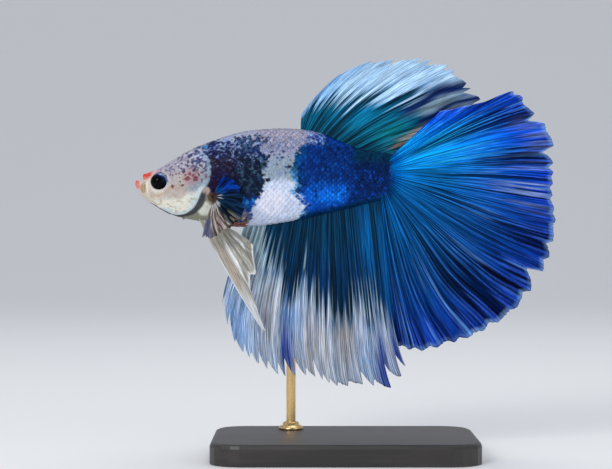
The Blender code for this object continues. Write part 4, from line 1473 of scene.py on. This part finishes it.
edge_tone = anal_tone(FINS["fin_anal"], np.array([0.5]), np.array([0.9]))
print("a tone at the anal fin's edge:", edge_tone.round(2))


# %% Tones of the paired fins
def pelvic_tone(fin, u, v):
    streak = streaks(u, v, 14, 71.0)
    tone = times((0.44, 0.43, 0.38), 0.60 + 0.44 * streak)
    tone = blend_to(tone, (0.50, 0.32, 0.24), 0.45 * patch(u, v, (0.30, 0.5), (0.12, 0.4)))
    tone = blend_to(tone, (0.40, 0.37, 0.30), 0.6 * smooth(0.5, 0.0, v))
    tone = blend_to(tone, (0.20, 0.19, 0.17), 0.45 * hairs(u, v, 40, 0.64, 72.0))
    tone = blend_to(tone, (0.80, 0.82, 0.84), 0.85 * hairs(u, v, 16, 0.66, 73.0) * smooth(0.1, 0.4, v))
    tone = blend_to(tone, (0.80, 0.82, 0.84), 0.8 * smooth(0.10, 0.02, u) * smooth(0.1, 0.4, v))
    tone = blend_to(tone, (0.85, 0.86, 0.88), 0.7 * smooth(0.90, 0.99, v) * smooth(0.3, 0.6, u))
    return blend_to(tone, (0.72, 0.76, 0.82), 0.7 * smooth(0.55, 0.85, v) * smooth(0.5, 0.2, u))


PECTORAL_GAPS = (0.645, 0.690, 0.735, 0.800, 0.865)


def pectoral_tone(fin, u, v):
    streak = streaks(u, v, 30, 81.0)
    line = hairs(u, v, 44, 0.55, 82.0)
    tone = times((0.002, 0.020, 0.055), 0.4 + 1.2 * streak)
    royal = times((0.001, 0.034, 0.280), 0.25 + 1.2 * streak)
    royal = blend_to(royal, (0.001, 0.10, 0.30), 0.6 * smooth(0.55, 0.2, v))
    tone = blend_to(tone, royal, smooth(0.36, 0.22, u))
    tone = blend_to(tone, (0.004, 0.006, 0.022), 0.7 * patch(u, v, (0.42, 1.0), (0.10, 0.35)))
    low_blue = patch(u, v, (0.50, 1.0), (0.06, 0.30))
    tone = blend_to(tone, (0.003, 0.09, 0.26), 0.6 * low_blue * streak)
    tone = times(tone, 1.0 - 0.75 * line)
    warm = smooth(0.53, 0.58, u) * smooth(0.70, 0.64, u) * smooth(0.50, 0.72, v)
    tone = blend_to(tone, (0.16, 0.15, 0.11), 0.8 * warm * (1.0 - line))
    low = smooth(0.64, 0.71, u)
    pale = times((0.50, 0.43, 0.38), 0.15 + 1.1 * streak)
    pale = blend_to(pale, (0.26, 0.12, 0.19), 0.7 * patch(u, v, (0.78, 0.72), (0.03, 0.14)))
    gaps = sum(np.exp(-(((u - place - 0.02 * np.sin(5.0 * v)) / 0.009) ** 2)) for place in PECTORAL_GAPS)
    pale = pale * (1.0 - 0.95 * np.minimum(gaps, 1.0))[:, None]
    tone = blend_to(tone, pale, 0.94 * low)
    violet = smooth(0.86, 0.92, u) * smooth(0.40, 0.6, v)
    tone = blend_to(tone, (0.075, 0.09, 0.18), 0.85 * violet)
    spokes = smooth(0.32, 0.14, v) * hairs(u, v, 24, 0.50, 83.0) * (u > 0.3)
    tone = blend_to(tone, (0.46, 0.50, 0.52), 0.8 * spokes)
    return blend_to(tone, (0.05, 0.025, 0.015), 0.9 * smooth(0.12, 0.03, v))


print("a tone of a pelvic fin:", pelvic_tone(None, *np.full((2, 1), 0.5)).round(2))

# %% [markdown]
# The membrane's finish adds what is too fine for the mesh. Its texture reads a map of across and
# along, so that every streak follows its ray round each fold, however the fin is bent.


# %% Membrane finish
def membrane_finish(name, rays, roughness, metallic):
    """Fine lines along the rays darken and lighten the tone, and stand out a little."""
    finish = new_finish(name, Roughness=roughness, Metallic=metallic, Specular_IOR_Level=0.05)
    tint = add(finish, "ShaderNodeAttribute", attribute_name="Marking")
    flat = add(finish, "ShaderNodeUVMap", uv_map="Rays").outputs["UV"]
    drawn = add(finish, "ShaderNodeMapping", {"Vector": flat, "Scale": (rays * 13.0, 7.0, 1.0)})
    fine = add(
        finish, "ShaderNodeTexNoise", {"Vector": drawn.outputs["Vector"], "Scale": 1.0, "Detail": 2.0}
    ).outputs["Fac"]
    factor = add(
        finish,
        "ShaderNodeMapRange",
        {"Value": fine, "From Min": 0.30, "From Max": 0.70, "To Min": 0.45, "To Max": 1.60},
    ).outputs["Result"]
    height = add(finish, "ShaderNodeBump", {"Height": fine, "Strength": 0.6, "Distance": 0.00008})
    to_shader(
        finish,
        Base_Color=toned(finish, tint.outputs["Color"], factor),
        Normal=height.outputs["Normal"],
    )
    return finish


blue_membrane = membrane_finish("blue membrane", 28, 0.38, 0.35)
pale_membrane = membrane_finish("milky membrane", 24, 0.45, 0.08)
cream_membrane = membrane_finish("cream membrane", 8, 0.5, 0.0)
print("membranes:", ", ".join(made.name for made in (blue_membrane, pale_membrane, cream_membrane)))

# %% [markdown]
# Each fin starts a little inside the body, so no gap shows at its root. The grid is pulled apart
# into two faces by extruding it across, and ridges on both make the rays stand out.


# %% Build the fins
SUNK = 1.1
RAY_RISE = 0.045


def two_faced(name, columns, rows):
    """A grid pulled apart into two faces, with halves of the unwrap for them, and each side."""
    bm, _, _ = grid_mesh(columns, rows)
    bm.loops.layers.uv.new("Rays")
    bake = bm.loops.layers.uv["OFBake"]
    grown = set(bmesh.ops.extrude_face_region(bm, geom=bm.faces[:])["geom"])
    for face in bm.faces:
        start = 0.5 if face in grown else 0.0
        for loop in face.loops:
            loop[bake].uv = (start + 0.5 * loop[bake].uv[0], loop[bake].uv[1])
    side = np.array([1.0 if vertex in grown else -1.0 for vertex in bm.verts])
    places = np.array([vertex.co[:] for vertex in bm.verts])
    return to_mesh(bm, name), side, places[:, 0] + 0.5, places[:, 1] + 0.5


def make_fin(name, columns, rows, tone_of, finish, slot, deep, rayed, thick=0.16, foot=0.0):
    """Deep sets the painted shade in the fold valleys, rayed lights the rays, and foot thickens the root."""
    fin = FINS[name]
    mesh, side, across, along = two_faced(name, columns, rows)
    ends = fin.point(np.array([0.5, 0.5]), np.array([0.0, 1.0]))
    start = -SUNK / np.linalg.norm(ends[1] - ends[0])
    reach = start + (1.0 - start) * along
    middle = fin.point(across, reach)
    lane = sway(across, reach)
    ridge = 0.5 + 0.5 * fin.forks(lane, reach)
    half = 0.5 * thick * (1.0 - 0.45 * np.clip(reach, 0, 1)) + RAY_RISE * ridge
    half += foot * (1.0 - smooth(0.0, 0.09, reach)) * (0.6 + 0.4 * ridge)
    middle[:, 1] += side * half
    tone = tone_of(fin, lane, np.clip(reach, 0, 1))
    # Painted shade: the colour is darkened in the valleys of the folds, less where the tone is pale.
    valley = smooth(0.15, 0.95, -fin.ripples(across)) * smooth(0.02, 0.2, reach)
    bright = np.clip(tone.sum(axis=1) / 1.2, 0.0, 1.0)
    tone = times(tone, 1.0 - deep * valley * (1.0 - 0.6 * bright))
    tone = times(tone, 1.0 - rayed + 1.5 * rayed * ridge)
    move_points(mesh, middle)
    lay_flat(mesh, "Rays", np.stack([lane, reach], axis=1))
    colour_points(mesh, np.concatenate([tone, np.ones((len(tone), 1))], axis=1))
    close_up(mesh, 0.0001)
    return as_piece(mesh, name + "_membrane", finish, slot, name)


make_fin("fin_caudal", 700, 60, caudal_tone, blue_membrane, "blue_fin", 0.30, 0.22, foot=0.40)
make_fin("fin_anal", 640, 60, anal_tone, pale_membrane, "pale_fin", 0.10, 0.15)
make_fin("fin_dorsal", 620, 60, dorsal_tone, pale_membrane, "pale_fin", 0.25, 0.15)
for side in ("left", "right"):
    make_fin("fin_pelvic_" + side, 100, 80, pelvic_tone, cream_membrane, "cream_fin", 0.2, 0.1)
    pectoral = "fin_pectoral_" + side
    make_fin(pectoral, 176, 40, pectoral_tone, blue_membrane, "blue_fin", 0.3, 0.30, thick=0.10)

# %% [markdown]
# ## The eyes
#
# A betta has no eyelids. Its eye is a low dome in a pale ring of skin: black at the pupil, and a
# narrow dark-blue iris with a few bright flecks behind and above. A globe is pressed flat along
# its own axis, and the rings of colour are read from the distance to that axis.


# %% Eye finish
def eye_finish():
    """Black, with a crescent of navy iris at the upper rear, where light catches it."""
    finish = new_finish("wet eye", Roughness=0.04, Specular_IOR_Level=0.06)
    place = in_millimetres(finish)
    parts = add(finish, "ShaderNodeSeparateXYZ", {"Vector": place})
    across = sums(finish, "SUBTRACT", parts.outputs["X"], EYE[0])
    upward = sums(finish, "SUBTRACT", parts.outputs["Z"], EYE[1])
    rear = sums(finish, "MULTIPLY_ADD", across, 0.70, sums(finish, "MULTIPLY", upward, 0.70))
    square = sums(finish, "MULTIPLY_ADD", upward, upward, sums(finish, "MULTIPLY", across, across))
    outer = add(
        finish,
        "ShaderNodeMapRange",
        {"Value": sums(finish, "SQRT", square), "From Min": 0.55, "From Max": 1.25},
    )
    upper = add(finish, "ShaderNodeMapRange", {"Value": rear, "From Min": 0.0, "From Max": 0.95})
    crescent = sums(finish, "MULTIPLY", outer.outputs["Result"], upper.outputs["Result"])
    flecks = add(finish, "ShaderNodeTexNoise", {"Vector": place, "Scale": 2.4, "Detail": 2.0})
    shine = sums(finish, "MULTIPLY_ADD", flecks.outputs["Fac"], 0.5, crescent)
    iris = add(finish, "ShaderNodeValToRGB", {"Fac": sums(finish, "SUBTRACT", shine, 0.25)})
    low, high = iris.color_ramp.elements
    low.position, low.color = 0.10, (0.0008, 0.0008, 0.0015, 1.0)
    high.position, high.color = 1.0, (0.30, 0.44, 0.72, 1.0)
    iris.color_ramp.elements.new(0.55).color = (0.002, 0.010, 0.060, 1.0)
    iris.color_ramp.elements.new(0.84).color = (0.006, 0.036, 0.200, 1.0)
    to_shader(finish, Base_Color=iris.outputs["Color"])
    return finish


wet_eye = eye_finish()
print("eye finish:", wet_eye.name)


# %% Build the eyes
EYE_SEAT = 1.50
EYE_HALF_DEPTH = 1.16
CORNEA = 0.05


def make_eye(name, side):
    """A globe seated in its socket, flattened sideways, with a slightly raised cornea."""
    bm = bmesh.new()
    bm.loops.layers.uv.new("OFBake")
    bmesh.ops.create_uvsphere(bm, u_segments=48, v_segments=32, radius=1.0, calc_uvs=True)
    mesh = to_mesh(bm, name)
    globe = points_of(mesh) * MM
    bulge = np.clip(globe[:, 2], 0.0, 1.0)
    x = EYE[0] + EYE_RADIUS * globe[:, 0]
    z = EYE[1] + EYE_RADIUS * globe[:, 1]
    y = side * (EYE_SEAT + EYE_HALF_DEPTH * globe[:, 2] + CORNEA * bulge**6)
    move_points(mesh, np.stack([x, y, z], axis=-1))
    close_up(mesh, 0.0001)
    return as_piece(mesh, name + "_ball", wet_eye, "eye", name)


make_eye("eye_left", -1)
make_eye("eye_right", 1)

# %% [markdown]
# ## The stand
#
# The stand's base and rod come from the model as they are. They only get finishes, and a turned
# collar hides where the rod enters the base. A collar could be cut from a cylinder, but spinning
# its profile gives the rounded steps of a lathe-turned part.


# %% Wood and brass
def lacquer_finish():
    """Black lacquer, with a faint figure of the wood along the base."""
    finish = new_finish("black lacquered wood", Coat_Weight=0.3, Coat_Roughness=0.45)
    place = in_millimetres(finish, (0.08, 1.0, 1.0))
    figure = add(finish, "ShaderNodeTexNoise", {"Vector": place, "Scale": 0.9, "Detail": 6.0})
    ramp = add(finish, "ShaderNodeValToRGB", {"Fac": figure.outputs["Fac"]})
    ramp.color_ramp.elements[0].position = 0.35
    ramp.color_ramp.elements[0].color = (0.010, 0.008, 0.007, 1)
    ramp.color_ramp.elements[1].position = 0.70
    ramp.color_ramp.elements[1].color = (0.030, 0.022, 0.018, 1)
    rough = sums(finish, "MULTIPLY_ADD", figure.outputs["Fac"], 0.2, 0.36)
    bump = add(
        finish,
        "ShaderNodeBump",
        {"Height": figure.outputs["Fac"], "Strength": 0.25, "Distance": 0.00005},
    )
    to_shader(finish, Base_Color=ramp.outputs["Color"], Roughness=rough, Normal=bump.outputs["Normal"])
    return finish


def brass_finish():
    """Brass brushed along the rod."""
    finish = new_finish("satin brass", Metallic=1.0)
    place = in_millimetres(finish, (1.0, 1.0, 0.15))
    brushed = add(finish, "ShaderNodeTexNoise", {"Vector": place, "Scale": 6.0, "Detail": 4.0})
    rough = sums(finish, "MULTIPLY_ADD", brushed.outputs["Fac"], 0.25, 0.14)
    warm = toned(finish, (0.72, 0.50, 0.22), sums(finish, "MULTIPLY_ADD", brushed.outputs["Fac"], 0.3, 0.82))
    to_shader(finish, Base_Color=warm, Roughness=rough)
    return finish


def repaint(node, finish):
    """Gives a carried-over solid its finish."""
    for slot in frame["nodes"][node].material_slots:
        slot.material = finish


lacquer = lacquer_finish()
brass = brass_finish()
repaint("stand_base", lacquer)
repaint("stand_rod", brass)
print("stand finishes:", lacquer.name, "and", brass.name)


# %% Turn the collar and the pad
def turned(name, profile, place, upright, finish, slot):
    """A lathe-turned piece: a profile of radius and height, spun about an axis through place."""
    bm = bmesh.new()
    points = [bm.verts.new((radius, 0.0, height)) for radius, height in profile]
    edges = [bm.edges.new(ends) for ends in zip(points, points[1:])]
    bmesh.ops.spin(
        bm,
        geom=points + edges,
        cent=(0, 0, 0),
        axis=(0, 0, 1),
        angle=2 * math.pi,
        steps=48,
        use_merge=True,
    )
    bmesh.ops.remove_doubles(bm, verts=bm.verts, dist=0.0001)
    bmesh.ops.recalc_face_normals(bm, faces=bm.faces)
    mesh = to_mesh(bm, name)
    shape = points_of(mesh) * MM
    if not upright:
        shape = shape[:, [0, 2, 1]] * (1, 1, -1)
    move_points(mesh, shape + place)
    return as_piece(mesh, name, finish, slot)


low, high = (np.array(corner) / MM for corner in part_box("stand_rod"))
rod_x = (low[0] + high[0]) / 2
base_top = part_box("stand_base")[1][2] / MM
ROD_RADIUS = 0.8
COLLAR = (
    (0.0, 0.0),
    (2.1, 0.0),
    (2.1, 0.35),
    (1.95, 0.55),
    (1.45, 0.70),
    (1.35, 1.15),
    (1.15, 1.3),
    (0.0, 1.3),
)
PAD = ((0.0, -0.25), (1.25, -0.25), (1.4, -0.1), (1.4, 0.35), (1.2, 0.5), (0.0, 0.5))
turned("stand_collar", COLLAR, (rod_x, high[1] - ROD_RADIUS, base_top), True, brass, "brass")
turned("stand_pad", PAD, (rod_x, low[1], high[2] - ROD_RADIUS), False, brass, "brass")

# %% [markdown]
# ## Floor, light and camera
#
# The model stands on a plain pale floor that curves up behind it, under large soft lights, as in
# a museum's own studio. The camera is level with the fish's middle and looks square at its
# left flank.


# %% Floor
FLOOR_WIDTH = 5000.0
FLOOR_RUN = 9600.0
FLOOR_NEAR = -7400.0
FLOOR_FLAT = 8000.0
FLOOR_BEND = 900.0


def make_floor():
    """A sheet that is flat under the model, and bends up behind it in a quarter of a circle."""
    bm = bmesh.new()
    bmesh.ops.create_grid(bm, x_segments=2, y_segments=128, size=0.5)
    mesh = to_mesh(bm, "floor")
    flat = points_of(mesh) * MM
    along = (flat[:, 1] + 0.5) * FLOOR_RUN
    quarter = FLOOR_BEND * math.pi / 2
    bend = np.clip(along - FLOOR_FLAT, 0.0, quarter)
    beyond = np.maximum(along - FLOOR_FLAT - quarter, 0.0)
    y = FLOOR_NEAR + np.minimum(along, FLOOR_FLAT) + FLOOR_BEND * np.sin(bend / FLOOR_BEND)
    z = FLOOR_BEND * (1.0 - np.cos(bend / FLOOR_BEND)) + beyond
    move_points(mesh, np.stack([flat[:, 0] * FLOOR_WIDTH, y, z - 0.02], axis=-1))
    floor = bpy.data.objects.new("floor", mesh)
    bpy.context.collection.objects.link(floor)
    finish = new_finish("pale floor", Base_Color=(0.86, 0.86, 0.85, 1.0), Roughness=0.7)
    mesh.materials.append(finish)
    return floor


floor = make_floor()
print("floor faces:", len(floor.data.polygons))


# %% Lights
def soft_light(name, place, aim, size, power):
    """A round area light turned towards its aim, with its place and size in metres."""
    data = bpy.data.lights.new(name, "AREA")
    data.shape = "DISK"
    data.size = size
    data.energy = power
    lamp = bpy.data.objects.new(name, data)
    lamp.location = place
    lamp.rotation_euler = (Vector(aim) - Vector(place)).to_track_quat("-Z", "Y").to_euler()
    bpy.context.collection.objects.link(lamp)


AIM = (0.0, 0.0, 0.04)
soft_light("key", (-0.30, -0.50, 0.34), AIM, 0.25, 1.7)
soft_light("fill", (0.45, -0.42, 0.12), AIM, 0.35, 0.5)
soft_light("top", (0.05, 0.10, 0.55), AIM, 0.35, 0.8)
world = bpy.data.worlds.new("studio")
world.use_nodes = True
world.node_tree.nodes["Background"].inputs["Color"].default_value = (0.86, 0.90, 1.0, 1.0)
world.node_tree.nodes["Background"].inputs["Strength"].default_value = 0.60
bpy.context.scene.world = world
bpy.context.scene.view_settings.view_transform = "Standard"
print("three soft lights and an even sky")

# %% Camera
CAMERA_PLACE = (-0.00642, -0.2833, 0.0369)
lens = bpy.data.cameras.new("camera")
lens.lens = 100.0
lens.sensor_width = 36.0
lens.clip_start = 0.01
camera = bpy.data.objects.new("camera", lens)
camera.location = CAMERA_PLACE
camera.rotation_euler = (math.radians(90.0), 0.0, 0.0)
bpy.context.collection.objects.link(camera)
bpy.context.scene.camera = camera
print("camera at", tuple(round(c, 4) for c in camera.location))
